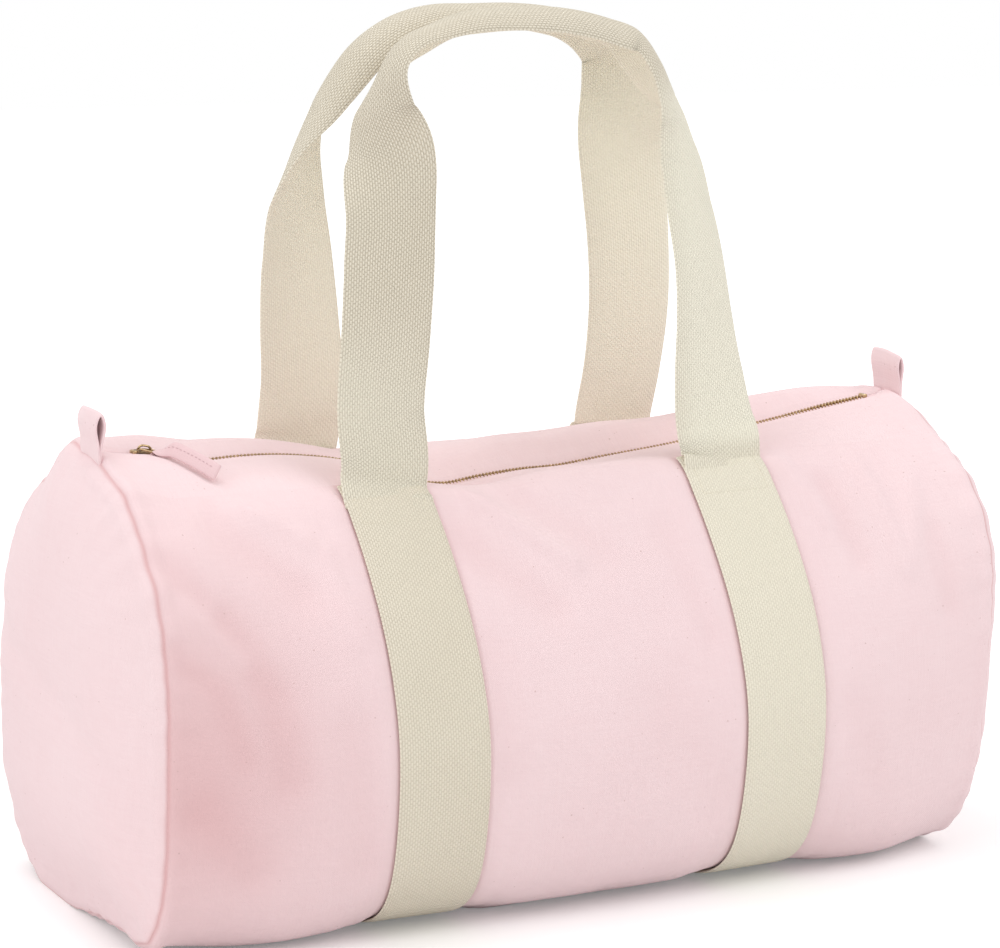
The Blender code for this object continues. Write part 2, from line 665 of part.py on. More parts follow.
# The slider: a top plate over both rows, a post between them and a plate under the front row
tooth_top = TOOTH_THICKNESS / 2 - CLOTH - GAP - TAPE / 2
tooth_bottom = -TOOTH_THICKNESS / 2 - CLOTH - GAP - TAPE / 2
plate_low = tooth_top + GAP
plate_high = plate_low + SLIDER_PLATE
foot_high = tooth_bottom - GAP
foot_low = foot_high - SLIDER_PLATE
slider_outline = [(-SLIDER_HALF, plate_high), (-SLIDER_HALF, plate_low), (-POST_HALF, plate_low),
                  (-POST_HALF, foot_high), (-SLIDER_HALF, foot_high), (-SLIDER_HALF, foot_low),
                  (POST_HALF, foot_low), (POST_HALF, plate_low), (SLIDER_HALF, plate_low),
                  (SLIDER_HALF, plate_high)]
flat = np.array([(-SLIDER_LENGTH / 2, y, z) for y, z in slider_outline])
slider_from = slider_place(flat)
slider_along = slider_place(flat[0] + np.array([SLIDER_LENGTH, 0, 0])) - slider_from[0]
ARC_CENTRE = (0, 0, ZIP_LOW_HEIGHT + arc_radius())
prism("zip_slider", slider_from, slider_along, BRASS, origin=ARC_CENTRE)

# The bridge: a staple over the top plate that holds the ring
foot = plate_high + GAP
crown = foot + BRIDGE_HEIGHT - SLIDER_PLATE
half_bridge = BRIDGE_LENGTH / 2
bridge_outline = [(-half_bridge, foot), (-half_bridge, crown), (half_bridge, crown),
                  (half_bridge, foot), (half_bridge - BRIDGE_WALL, foot),
                  (half_bridge - BRIDGE_WALL, crown - BRIDGE_WALL),
                  (BRIDGE_WALL - half_bridge, crown - BRIDGE_WALL), (BRIDGE_WALL - half_bridge, foot)]
flat = np.array([(x, -BRIDGE_WIDTH / 2, z) for x, z in bridge_outline])
bridge_from = slider_place(flat)
prism("slider_bridge", bridge_from, (0, BRIDGE_WIDTH, 0), BRASS, origin=ARC_CENTRE)

# The ring lies in the bridge, and the pull's folded strip goes round the ring's far bar
ring_height = foot + GAP + RING_WIRE / 2
PULL_WAY = np.array([cos(PULL_TURN) * cos(PULL_DROP), -sin(PULL_TURN) * cos(PULL_DROP), -sin(PULL_DROP)])
BAR_WAY = np.array([sin(PULL_TURN), cos(PULL_TURN), 0.0])
UP_WAY = np.cross(PULL_WAY, BAR_WAY)


def on_slider(way, bar, up):
    """A point at distances along the pull, along the bar and above the ring's height."""
    way, bar, up = np.broadcast_arrays(way, bar, up)
    local = way[..., None] * PULL_WAY + bar[..., None] * BAR_WAY + up[..., None] * UP_WAY
    local = local + np.array([0, 0, ring_height])
    return slider_place(local)


RING_HINGE = tuple(on_slider(0.0, 0.0, 0.0))
PULL_HINGE = tuple(on_slider(RING_REACH, 0.0, 0.0))
ring_path = rounded_rectangle(RING_HALF, 0.0, RING_REACH, RING_ROUND, CORNER_STEPS)
loop_piece("pull_ring", ring_path, RING_WIRE, (-RING_WIRE / 2, RING_WIRE / 2),
           lambda flat, up: on_slider(flat[:, 0], flat[:, 1], up), BRASS, origin=RING_HINGE)
head = PULL_HOLLOW + PULL_CLOTH / 2
strip_path = teardrop(PULL_LENGTH, PULL_CLOTH * FOLD_SHARE, head, LOOP_STEPS)
loop_piece("pull_tab", strip_path, PULL_CLOTH, (-PULL_WIDTH / 2, PULL_WIDTH / 2),
           lambda flat, bar: on_slider(RING_REACH - flat[:, 0], bar, flat[:, 1]), CANVAS, origin=PULL_HINGE)
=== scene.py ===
# %% [markdown]
# # A canvas barrel bag, dressed for its picture
# The imported model gives fixed places: the bag stands on the floor at z = 0, X runs along it and
# -Y is its front. Every piece made here is cloth, webbing or brass. The body's cloth and end
# panels, the bands, seam tapes, end loops, attachment stitches and end stop, and the slider with
# its bridge, ring and pull ride on the model's bodies; the mouth's cloth, the zip's tapes, teeth
# and top stops and the handles stay where they are made.

import bpy
import numpy as np
from math import asin, cos, pi, radians, sin
from mathutils import Matrix, Vector


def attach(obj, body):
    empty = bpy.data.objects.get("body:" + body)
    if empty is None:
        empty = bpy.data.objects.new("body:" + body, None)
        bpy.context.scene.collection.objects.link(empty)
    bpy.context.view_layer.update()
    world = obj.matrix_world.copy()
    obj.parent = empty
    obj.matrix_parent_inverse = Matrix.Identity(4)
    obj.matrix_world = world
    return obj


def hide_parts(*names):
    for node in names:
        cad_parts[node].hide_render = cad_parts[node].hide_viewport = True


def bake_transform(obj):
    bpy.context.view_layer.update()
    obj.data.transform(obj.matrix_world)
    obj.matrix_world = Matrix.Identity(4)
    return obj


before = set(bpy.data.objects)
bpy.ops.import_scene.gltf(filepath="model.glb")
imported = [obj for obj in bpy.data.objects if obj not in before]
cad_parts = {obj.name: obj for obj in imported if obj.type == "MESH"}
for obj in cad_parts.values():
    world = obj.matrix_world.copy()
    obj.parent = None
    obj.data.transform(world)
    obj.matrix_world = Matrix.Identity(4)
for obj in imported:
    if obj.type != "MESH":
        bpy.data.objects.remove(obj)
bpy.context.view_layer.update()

# %% [markdown]
# ## The camera
# A product picture of a bag is taken from a little above it and from one side, with a long
# lens. The camera could be placed by eye. Here it follows from two angles, a distance and the
# point that it looks at, so each number can be compared with the picture by itself.

# %% Camera
VIEW_TURN = radians(26.464)
VIEW_RISE = radians(9.473)
VIEW_DISTANCE = 1.80
SENSOR_MM = 36
LENS_MM = 115.506
LENS_SHIFT = (0.00506, 0.0021)
LOOK_AT = Vector((-0.0059, 0.0, 0.2213))

backwards = Vector((-sin(VIEW_TURN) * cos(VIEW_RISE), -cos(VIEW_TURN) * cos(VIEW_RISE), sin(VIEW_RISE)))
sideways = Vector((cos(VIEW_TURN), -sin(VIEW_TURN), 0.0))
upwards = backwards.cross(sideways)
lens_data = bpy.data.cameras.new("picture_camera")
lens_data.lens = LENS_MM
lens_data.sensor_width = SENSOR_MM
lens_data.shift_x, lens_data.shift_y = LENS_SHIFT
camera = bpy.data.objects.new("picture_camera", lens_data)
turn = Matrix((sideways, upwards, backwards)).transposed().to_4x4()
camera.matrix_world = Matrix.Translation(LOOK_AT + backwards * VIEW_DISTANCE) @ turn
bpy.context.collection.objects.link(camera)
bpy.context.scene.camera = camera
print("lens in mm", LENS_MM)

# %% [markdown]
# ## Nodes in few words
# The sky, the floor and every material are small graphs of nodes. With one short method for
# each kind of node, a graph reads like the sum that it stands for.


# %% A graph of nodes
class Nodes:
    """The nodes of a world or a material, made in few words."""

    def __init__(self, owner):
        owner.use_nodes = True
        self.tree = owner.node_tree

    def put(self, socket, value):
        """A number, a colour or another node's result goes into a socket."""
        if isinstance(value, bpy.types.NodeSocket):
            self.tree.links.new(value, socket)
        else:
            socket.default_value = value

    def make(self, kind, inputs, **settings):
        """A node of a kind, with its settings and what goes into its sockets."""
        node = self.tree.nodes.new("ShaderNode" + kind)
        for name, value in settings.items():
            setattr(node, name, value)
        for socket, value in inputs.items():
            self.put(node.inputs[socket], value)
        return node

    def math(self, kind, first, second=0.0):
        """One sum on one or two values."""
        return self.make("Math", {0: first, 1: second}, operation=kind).outputs[0]

    def place(self, kind, scale=(1, 1, 1)):
        """The place that a pattern is read at, stretched."""
        source = self.make("TexCoord", {}).outputs[kind]
        return self.make("Mapping", {"Vector": source, "Scale": scale}).outputs[0]

    def split(self, place):
        """The first two parts of a place."""
        return self.make("SeparateXYZ", {0: place}).outputs[:2]

    def noise(self, place, scale, detail=3.0, roughness=0.5):
        """A soft random value from 0 to 1."""
        inputs = {"Vector": place, "Scale": scale, "Detail": detail, "Roughness": roughness}
        return self.make("TexNoise", inputs).outputs[0]

    def ramp(self, value, low, high, to_low=0.0, to_high=1.0):
        """A value's way from low to high, as a way between two other values."""
        inputs = {"Value": value, "From Min": low, "From Max": high, "To Min": to_low, "To Max": to_high}
        return self.make("MapRange", inputs).outputs[0]

    def mix(self, share, first, second):
        """Two colours mixed."""
        return self.make("Mix", {0: share, 6: first, 7: second}, data_type="RGBA").outputs[2]

    def mesh_value(self, name):
        """A value that the mesh holds for each point."""
        return self.make("Attribute", {}, attribute_name=name).outputs["Fac"]


class Paint(Nodes):
    """A new material with its shader."""

    def __init__(self, name):
        self.material = bpy.data.materials.new(name)
        super().__init__(self.material)
        self.shader = self.tree.nodes["Principled BSDF"]

    def look(self, **values):
        """Values for the shader, by its sockets' names with a _ for each space."""
        for name, value in values.items():
            self.put(self.shader.inputs[name.replace("_", " ")], value)
        return self.material

    def bump(self, height, depth):
        """Relief from a height of 0 to 1 that is worth a depth in metres."""
        node = self.make("Bump", {"Height": height, "Distance": depth})
        self.put(self.shader.inputs["Normal"], node.outputs[0])


# %% [markdown]
# ## Floor and light
# The bag stands in a plain white room. A big soft lamp high in front on the right gives the
# cloth its shape, a weaker one on the left keeps the near end open, one above and behind lights
# the top, and the sky fills the rest. They are weak enough that a colour comes out about as it
# is written. The floor is pale, takes the bag's shadow, and glows a little more with distance,
# for the camera alone, so that it meets the white background without an edge.

# %% Floor and lamps
SKY_STRENGTH = 0.66
LAMP_AIM = Vector((0, 0, 0.15))
FLOOR_HALF = 8.0
# Over which distances from the bag the floor's glow grows, and from what to what
GLOW_REACH = (0.3, 2.2)
GLOW_LEVEL = (0.16, 0.60)
WHITE = (1, 1, 1, 1)
# Each row: name, place, size and power in watts
LAMPS = (("key_lamp", (1.3, -1.3, 1.9), 1.8, 19.0), ("fill_lamp", (-2.0, -0.8, 1.1), 1.6, 12.0),
         ("top_lamp", (-0.4, 0.6, 2.2), 1.6, 16.0))

for name, place, size, power in LAMPS:
    lamp = bpy.data.lights.new(name, "AREA")
    lamp.shape = "SQUARE"
    lamp.size = size
    lamp.energy = power
    thing = bpy.data.objects.new(name, lamp)
    thing.location = place
    thing.rotation_euler = (LAMP_AIM - Vector(place)).to_track_quat("-Z", "Y").to_euler()
    bpy.context.collection.objects.link(thing)

world = bpy.data.worlds.new("white_room")
bpy.context.scene.world = world
sky = Nodes(world)
rays = sky.make("LightPath", {}).outputs
seen = sky.math("MAXIMUM", rays["Is Camera Ray"], rays["Is Glossy Ray"])
seen = sky.math("MAXIMUM", seen, rays["Is Transmission Ray"])
background = sky.tree.nodes["Background"]
sky.put(background.inputs["Color"], WHITE)
sky.put(background.inputs["Strength"], sky.ramp(seen, 0, 1, SKY_STRENGTH, 1.0))

floor_data = bpy.data.meshes.new("floor")
floor_corners = [(x * FLOOR_HALF, y * FLOOR_HALF, 0) for x, y in ((-1, -1), (1, -1), (1, 1), (-1, 1))]
floor_data.from_pydata(floor_corners, [], [(0, 1, 2, 3)])
floor = bpy.data.objects.new("floor", floor_data)
bpy.context.collection.objects.link(floor)
paint = Paint("pale_floor")
place = paint.make("TexCoord", {}).outputs["Object"]
distance = paint.make("VectorMath", {0: place}, operation="LENGTH").outputs["Value"]
glow = paint.ramp(distance, *GLOW_REACH, *GLOW_LEVEL)
glow = paint.math("MULTIPLY", glow, paint.make("LightPath", {}).outputs["Is Camera Ray"])
floor_paint = paint.look(Base_Color=(0.95, 0.95, 0.95, 1), Roughness=1.0, Specular_IOR_Level=0.0,
                         Emission_Color=WHITE, Emission_Strength=glow)
floor_data.materials.append(floor_paint)
bpy.context.scene.view_settings.view_transform = "Standard"

# %% [markdown]
# ## Helpers for surfaces
# Every piece is a grid of points: rows along one way, columns along the other. A thin cloth is
# two such grids with a wall along their edges, and a strap is a ring of points carried along a
# path. Working on whole arrays keeps the code short and gives each formula one place.


# %% Grids, shells and tubes
def smooth(low, high, value):
    """A smooth step: 0 at low, 1 at high, three share squared minus two share cubed between."""
    share = np.clip((value - low) / (high - low), 0, 1)
    return share * share * (3 - 2 * share)


def bell(distance, width):
    """1 at no distance, dying away on both sides: e to minus the square of distance over width."""
    return np.exp(-(distance / width) ** 2)


def swollen(value, power):
    """A value between -1 and 1 to a power, with its sign kept: a sine's round becomes squarer."""
    return np.sign(value) * abs(value) ** power


def join(*parts):
    """Parts such as x, y and z put together as points, each stretched to the others' shape."""
    return np.stack(np.broadcast_arrays(*parts), axis=-1)


def unit(vectors):
    """Vectors divided by their length."""
    return vectors / np.maximum(np.linalg.norm(vectors, axis=-1, keepdims=True), 1e-12)


def way_along(line):
    """How far along a line each of its points is."""
    step = np.linalg.norm(np.diff(line, axis=0), axis=1)
    return np.concatenate([[0], np.cumsum(step)])


def grid_normals(points):
    """The unit normals of a grid: the cross product of its column and row differences."""
    return unit(np.cross(np.gradient(points, axis=1), np.gradient(points, axis=0)))


def grid_faces(rows, columns, around=False, closed=False):
    """The corners of a grid's cells; around and closed join the last column or row to the first."""
    number = np.arange(rows * columns).reshape(rows, columns)
    if closed:
        number = np.concatenate([number, number[:1]], axis=0)
    if around:
        number = np.concatenate([number, number[:, :1]], axis=1)
    cell = [number[:-1, :-1], number[:-1, 1:], number[1:, 1:], number[1:, :-1]]
    return np.stack(cell, axis=-1).reshape(-1, 4)


def faces_inwards(points, faces):
    """Whether closed faces look inwards: the sum of each face's signed volume is below zero."""
    a, b, c, d = [points[faces[:, place]] for place in range(4)]
    return (np.cross(b - a, c - a) * a + np.cross(c - a, d - a) * a).sum() < 0


def hold_value(mesh, name, values):
    """Keeps a value for each point of a mesh, for its material to read."""
    layer = mesh.attributes.new(name, "FLOAT", "POINT")
    layer.data.foreach_set("value", np.asarray(values, np.float32).ravel())


def add_piece(name, points, faces, finish, uv=None, ends=(), crease=50, painted_shade=None):
    """One named object from points and faces, with a flat pattern place for each point.

    crease is the angle in degrees from which an edge is sharp. painted_shade says how much
    painted shade each point gets, from 0 to 1, in folds, seams and beside the bands, for the material.
    """
    mesh = bpy.data.meshes.new(name)
    points = np.asarray(points, float).reshape(-1, 3)
    turned = -1 if faces_inwards(points - points.mean(axis=0), faces) else 1
    corners = [face[::turned] for face in faces.tolist() + [list(end) for end in ends]]
    mesh.from_pydata(points.tolist(), [], corners)
    if uv is not None:
        layer = mesh.uv_layers.new(name="cloth")
        corner_point = np.empty(len(mesh.loops), np.int32)
        mesh.loops.foreach_get("vertex_index", corner_point)
        places = np.asarray(uv, np.float32).reshape(-1, 2)[corner_point]
        layer.data.foreach_set("uv", places.ravel())
    if painted_shade is not None:
        hold_value(mesh, "painted_shade", painted_shade)
    mesh.materials.append(finish)
    mesh.shade_smooth()
    mesh.set_sharp_from_angle(angle=radians(crease))
    mesh.update()
    piece = bpy.data.objects.new(name, mesh)
    bpy.context.collection.objects.link(piece)
    return piece


def shell(name, outer, thickness, finish, uv, painted_shade=None):
    """A cloth: the outer grid, an inner one a thickness below it, and a wall round the edge."""
    rows, columns = outer.shape[:2]
    inner = outer - grid_normals(outer) * thickness
    count = rows * columns
    front = grid_faces(rows, columns)
    back = front[:, ::-1] + count
    number = np.arange(count).reshape(rows, columns)
    edge = np.concatenate([number[0, :-1], number[:-1, -1], number[-1, :0:-1], number[:0:-1, 0]])
    after = np.roll(edge, -1)
    wall = join(after, edge, edge + count, after + count)
    points = np.concatenate([outer.reshape(-1, 3), inner.reshape(-1, 3)])
    both = np.concatenate([uv.reshape(-1, 2)] * 2)
    deep = None if painted_shade is None else np.concatenate([painted_shade.ravel()] * 2)
    return add_piece(name, points, np.concatenate([front, back, wall]), finish, both, painted_shade=deep)


def tube(name, rings, finish, uv=None, crease=50, closed=False, painted_shade=None):
    """Rings of points joined one after the other; the ends are capped unless they meet."""
    count, around = rings.shape[:2]
    faces = grid_faces(count, around, True, closed)
    last = (count - 1) * around
    ends = [] if closed else [list(range(around))[::-1], list(range(last, last + around))]
    return add_piece(name, rings, faces, finish, uv, ends, crease, painted_shade)


def many_tubes(name, parts, finish, crease):
    """Several short capped tubes as one object, such as a row of teeth or stitches."""
    faces, ends, base = [], [], 0
    for rings in parts:
        count, around = rings.shape[:2]
        faces.append(grid_faces(count, around, True) + base)
        last = base + (count - 1) * around
        ends += [list(range(base, base + around))[::-1], list(range(last, last + around))]
        base += count * around
    points = np.concatenate([rings.reshape(-1, 3) for rings in parts])
    return add_piece(name, points, np.concatenate(faces), finish, None, ends, crease)


def flat_ring(across, power):
    """A flat ring's points: shares of its half width, and of its half thickness at each."""
    edge = np.sqrt(1 - np.minimum(abs(across), 1) ** power)
    return np.concatenate([across, across[-2:0:-1]]), np.concatenate([edge, -edge[-2:0:-1]])


def smooth_path(points, count):
    """Even steps along a curve through every given point.

    Each piece is a cubic whose slope at a point is the mean of the slopes on both sides of it,
    the nearer one counting for more. Columns after the third ride along, such as a turn.
    """
    points = np.asarray(points, float)
    gap = np.linalg.norm(np.diff(points[:, :3], axis=0), axis=1)[:, None]
    slope = np.diff(points, axis=0) / gap
    middle = (slope[:-1] * gap[1:] + slope[1:] * gap[:-1]) / (gap[1:] + gap[:-1])
    slope = np.concatenate([slope[:1], middle, slope[-1:]])[:, None]
    t = np.linspace(0, 1, 40, endpoint=False)[None, :, None]
    a, b, gap = points[:-1, None], points[1:, None], gap[:, None]
    curve = (a * (1 + 2 * t) * (1 - t) ** 2 + slope[:-1] * gap * t * (1 - t) ** 2
             + b * t * t * (3 - 2 * t) + slope[1:] * gap * t * t * (t - 1))
    curve = np.concatenate([curve.reshape(-1, points.shape[1]), points[-1:]])
    run = way_along(curve[:, :3])
    even = np.linspace(0, run[-1], count)
    return np.stack([np.interp(even, run, column) for column in curve.T], axis=1)


def dress(piece, nodes, body=None):
    """A piece stands for nodes of the model, which are hidden, and rides on a body if one is given."""
    if body:
        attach(piece, body)
    if nodes:
        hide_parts(*nodes)


# %% [markdown]
# ## Canvas
# The body is heavy cotton canvas: a plain weave of thick yarns, dyed a pale pink that stays a
# little uneven, with a few dark specks of seed left in the cotton. A flat colour would look
# like plastic, so the weave is a pair of crossed waves, thick and thin yarns come from noise
# stretched along them, and the specks are the darkest grains of a fine noise. All of it reads
# the cloth's own flat pattern, in metres. Where the mesh holds painted shade, in the furrows, on
# a broad patch at the left end, along the seams and beside the bands, the colour is painted a
# deeper, redder pink for the shade there and for the pale light bounced between the folds.

# %% Canvas material
PINK = (0.865, 0.680, 0.695, 1)
PINK_DEEP = (0.835, 0.630, 0.645, 1)
# The deeper, redder pink painted in for shade in furrows, at the left end, along seams and beside bands
PINK_PAINTED_SHADE = (0.710, 0.440, 0.445, 1)
SPECK = (0.50, 0.33, 0.30, 1)
YARN_PAIR = 0.0012
YARN_RELIEF = 0.00022


def canvas_material(name, light, deep, specks=True):
    """Plain weave: the product of a wave along the warp and one along the weft."""
    paint = Paint(name)
    place = paint.place("UV")
    along, across = paint.split(place)
    warp = paint.math("SINE", paint.math("MULTIPLY", along, 2 * pi / YARN_PAIR))
    weft = paint.math("SINE", paint.math("MULTIPLY", across, 2 * pi / YARN_PAIR))
    weave = paint.ramp(paint.math("MULTIPLY", warp, weft), -1, 1)
    thick_warp = paint.noise(paint.place("UV", (28, 700, 1)), 1.0, 2.0)
    thick_weft = paint.noise(paint.place("UV", (700, 28, 1)), 1.0, 2.0)
    slubs = paint.math("ADD", thick_warp, thick_weft)
    uneven = paint.ramp(paint.noise(place, 9.0), 0.35, 0.7, 0.0, 0.55)
    mottle = paint.ramp(paint.noise(place, 150.0, 3.0, 0.6), 0.3, 0.75, 0.0, 0.25)
    share = paint.math("ADD", uneven, mottle)
    share = paint.math("ADD", share, paint.ramp(slubs, 0.7, 1.3, -0.08, 0.22))
    colour = paint.mix(share, light, deep)
    # Painted shade: the mesh's painted_shade value mixes in the deeper pink
    colour = paint.mix(paint.mesh_value("painted_shade"), colour, PINK_PAINTED_SHADE)
    if specks:
        grain = paint.ramp(paint.noise(place, 620.0, 0.0), 0.80, 0.84)
        rare = paint.ramp(paint.noise(place, 47.0, 0.0), 0.56, 0.60)
        found = paint.math("MULTIPLY", grain, rare)
        colour = paint.mix(paint.math("MULTIPLY", found, 0.55), colour, SPECK)
    relief = paint.math("ADD", paint.math("MULTIPLY", weave, 0.35), paint.math("MULTIPLY", slubs, 0.65))
    paint.bump(relief, YARN_RELIEF)
    return paint.look(Base_Color=colour, Roughness=0.93, Specular_IOR_Level=0.25, Sheen_Weight=0.18,
                      Sheen_Roughness=0.5)


CANVAS = canvas_material("canvas_pink", PINK, PINK_DEEP)
PULL_CANVAS = canvas_material("canvas_pull", (0.80, 0.590, 0.605, 1), (0.76, 0.540, 0.555, 1), False)
TAPE_CLOTH = canvas_material("zip_tape_pink", PINK_DEEP, (0.80, 0.60, 0.615, 1), False)

# %% [markdown]
# ## Webbing
# The handles and bands are one kind of thick cotton webbing. Each warp yarn comes up as a small
# oval, and the next column stands half a row higher, so the face looks like a chain. The
# pattern is a staggered grid of half waves on the strap's own flat pattern. Where the strap is
# stitched down and pulled tight the ovals are flatter, so the bands have a weaker relief.
# Where the mesh holds painted light, on the right band, the handles' right legs and the lower
# parts of their left legs, the colour is painted paler with a weaker pattern. The handles'
# inner faces have a smoother weave, and their paler cream is painted light that lifts the shade
# between the handles.

# %% Webbing material
CREAM = (0.790, 0.728, 0.605, 1)
CREAM_SHADE = (0.570, 0.500, 0.375, 1)
# A paler cream painted in as light, on the handles' inner faces and wherever the mesh holds painted
# light
CREAM_PAINTED_LIGHT = (0.925, 0.888, 0.745, 1)
COLUMN_PITCH = 0.00143
ROW_PITCH = 0.0025


def webbing_material(name, relief, contrast, light=CREAM, dark_tone=CREAM_SHADE):
    """Ovals in columns: half a sine across each column times one along each row."""
    paint = Paint(name)
    place = paint.place("UV")
    wobble = paint.noise(place, 260.0, 1.0)
    across, along = paint.split(place)
    column = paint.math("DIVIDE", across, COLUMN_PITCH)
    odd = paint.math("FLOORED_MODULO", paint.math("FLOOR", column), 2.0)
    row = paint.math("ADD", paint.math("DIVIDE", along, ROW_PITCH), paint.math("MULTIPLY", odd, 0.5))
    row = paint.math("ADD", row, paint.ramp(wobble, 0, 1, -0.1, 0.1))
    over = paint.math("SINE", paint.math("MULTIPLY", paint.math("FRACT", column), pi))
    up = paint.math("SINE", paint.math("MULTIPLY", paint.math("FRACT", row), pi))
    oval = paint.math("MULTIPLY", paint.math("POWER", over, 0.6), paint.math("POWER", up, 0.75))
    fibre = paint.noise(paint.place("UV", (2600, 500, 1)), 1.0, 2.0)
    uneven = paint.noise(place, 14.0, 3.0)
    dark = paint.ramp(oval, 0.0, 0.85, contrast, 0.0)
    share = paint.math("ADD", dark, paint.ramp(fibre, 0.3, 0.7, -0.05, 0.08))
    share = paint.math("ADD", share, paint.ramp(uneven, 0.3, 0.7, -0.05, 0.10))
    # Painted light: the mesh's painted_light value weakens the pattern and mixes in a paler cream
    painted_light = paint.mesh_value("painted_light")
    share = paint.math("MULTIPLY", share, paint.ramp(painted_light, 0, 1, 1.0, 0.6))
    colour = paint.mix(painted_light, paint.mix(share, light, dark_tone), CREAM_PAINTED_LIGHT)
    height = paint.math("ADD", oval, paint.math("MULTIPLY", fibre, 0.15))
    paint.bump(height, relief)
    return paint.look(Base_Color=colour, Roughness=0.88, Specular_IOR_Level=0.25, Sheen_Weight=0.12)


WEBBING_LOOSE = webbing_material("webbing_loose", 0.00055, 0.85)
WEBBING_TIGHT = webbing_material("webbing_tight", 0.00036, 0.55)
WEBBING_INNER_PAINTED_LIGHT = webbing_material("webbing_inner_painted_light", 0.00036, 0.45, CREAM_PAINTED_LIGHT, CREAM)

# %% [markdown]
# ## Thread and brass
# The thread is a plain matt cord that matches what it sews. The zip is metal with an old-brass
# finish: a fine noise mixes a dark brown with a dull gold over it.


# %% Thread and brass materials
def thread_material(name, colour):
    """A matt cord, a little uneven."""
    paint = Paint(name)
    twist = paint.noise(paint.place("Object", (900, 900, 900)), 1.0, 2.0)
    darker = tuple(part * 0.86 for part in colour[:3]) + (1,)
    paint.bump(twist, 0.00008)
    return paint.look(Base_Color=paint.mix(twist, colour, darker), Roughness=0.7)


def brass_material(name, brown, gold):
    """Old brass: noise mixes a dark brown with a dull gold, and roughens the dark places."""
    paint = Paint(name)
    patina = paint.noise(paint.place("Object"), 420.0, 4.0, 0.6)
    share = paint.ramp(patina, 0.35, 0.65)
    paint.bump(patina, 0.00005)
    return paint.look(Base_Color=paint.mix(share, brown, gold), Metallic=1.0,
                      Roughness=paint.ramp(share, 0, 1, 0.46, 0.30))


PINK_THREAD = thread_material("thread_pink", (0.66, 0.450, 0.470, 1))
CREAM_THREAD = thread_material("thread_cream", (0.80, 0.74, 0.61, 1))
BRASS = brass_material("antique_brass_worn", (0.36, 0.245, 0.130, 1), (0.62, 0.475, 0.270, 1))
BRASS_DARK = brass_material("antique_brass_dark", (0.16, 0.105, 0.060, 1), (0.34, 0.250, 0.140, 1))
print("materials", len(bpy.data.materials))

# %% [markdown]
# ## The shape of the bag
# The body is a round barrel whose cloth has gone slack: it stands on a flattened base, bellies
# out low down and hangs straighter under the shoulder lines. A cloth simulation could let a
# cylinder fall into this shape, but the picture shows the settled shape itself, so each cross
# section is written as a superellipse whose numbers change along the bag, and folds are added
# to it one by one.

# %% The bag's section
LENGTH = 0.500
HALF_LENGTH = LENGTH / 2
# In the middle and at the ends: depth, widest height, roundness above it and squareness below
MIDDLE_DEPTH, END_DEPTH = 0.2756, 0.2541
MIDDLE_WIDEST, END_WIDEST = 0.0961, 0.1192
MIDDLE_ROUND, END_ROUND = 1.966, 2.534
MIDDLE_SQUARE, END_SQUARE = 3.97, 3.96
# How far the side hangs in and bellies out, the height where it does so most, and its reach
HANG_IN, HANG_HEIGHT, HANG_REACH = 0.0051, 0.2024, 0.0348
BELLY_OUT, BELLY_HEIGHT, BELLY_REACH = 0.0078, 0.0989, 0.0504
BAND_PULL = 0.0032
BAND_RISE = 0.0027
CLOTH = 0.0018
GAP = 0.0003
SHOULDER_Y = 0.0570
SHOULDER_HEIGHT = 0.2340
FLOOR_PRESS = 0.0025
SEAM_DIP = 0.0022
BAND_CENTRE = 0.103
WEBBING_WIDTH = 0.051
WEBBING = 0.0022
WEBBING_LIFT = 0.0002
SECTION_STEPS = 500


def cinch(x, flat=0.030, reach=0.050):
    """How much the bands pull the body in: 1 under a band and 0 away from it."""
    return smooth(reach, flat, abs(x + BAND_CENTRE)) + smooth(reach, flat, abs(x - BAND_CENTRE))


def section_facts(x):
    """The half depth, widest height and roundness of the section at x."""
    share = (x / HALF_LENGTH) ** 2
    wide = (END_DEPTH + (MIDDLE_DEPTH - END_DEPTH) * (1 - share)) / 2 - BAND_PULL * cinch(x)
    widest = MIDDLE_WIDEST + (END_WIDEST - MIDDLE_WIDEST) * share
    upper = MIDDLE_ROUND + (END_ROUND - MIDDLE_ROUND) * share
    squarer = 1.06 * bell(abs(x) - 0.185, 0.035)
    lower = MIDDLE_SQUARE + (END_SQUARE - MIDDLE_SQUARE) * share ** 2 + squarer
    inside = (1 - (SHOULDER_Y / wide) ** upper) ** (1 / upper)
    crown = (SHOULDER_HEIGHT - widest) / inside
    return wide, widest, upper, lower, inside, crown


def section_start(x):
    """The angle of the shoulder line in the section at x."""
    _, _, upper, _, inside, _ = section_facts(x)
    return np.arcsin(inside ** (upper / 2))


def half_section(x, angle):
    """The front half of the section, from the shoulder line down to the base's middle.

    Above the widest height it is a superellipse through the shoulder line, and below it a
    squarer one, cut flat where it would pass under the floor.
    """
    wide, widest, upper, lower, _, crown = section_facts(x)
    above = angle >= 0
    power = np.where(above, 2 / upper, 2 / lower)
    y = -wide * np.maximum(np.cos(angle), 0) ** power
    up = np.abs(np.sin(angle)) ** power
    z = np.where(above, widest + crown * up, np.maximum(widest - (widest + FLOOR_PRESS) * up, 0))
    z = z + BAND_RISE * cinch(x) * np.clip(1 - z / widest, 0, 1) ** 2
    middle = 1 - (x / HALF_LENGTH) ** 4
    hang = bell(z - HANG_HEIGHT, HANG_REACH) * smooth(SHOULDER_HEIGHT, SHOULDER_HEIGHT - 0.02, z)
    belly = bell(z - BELLY_HEIGHT, BELLY_REACH)
    y = y + middle * (HANG_IN * hang - BELLY_OUT * belly)
    return y, z


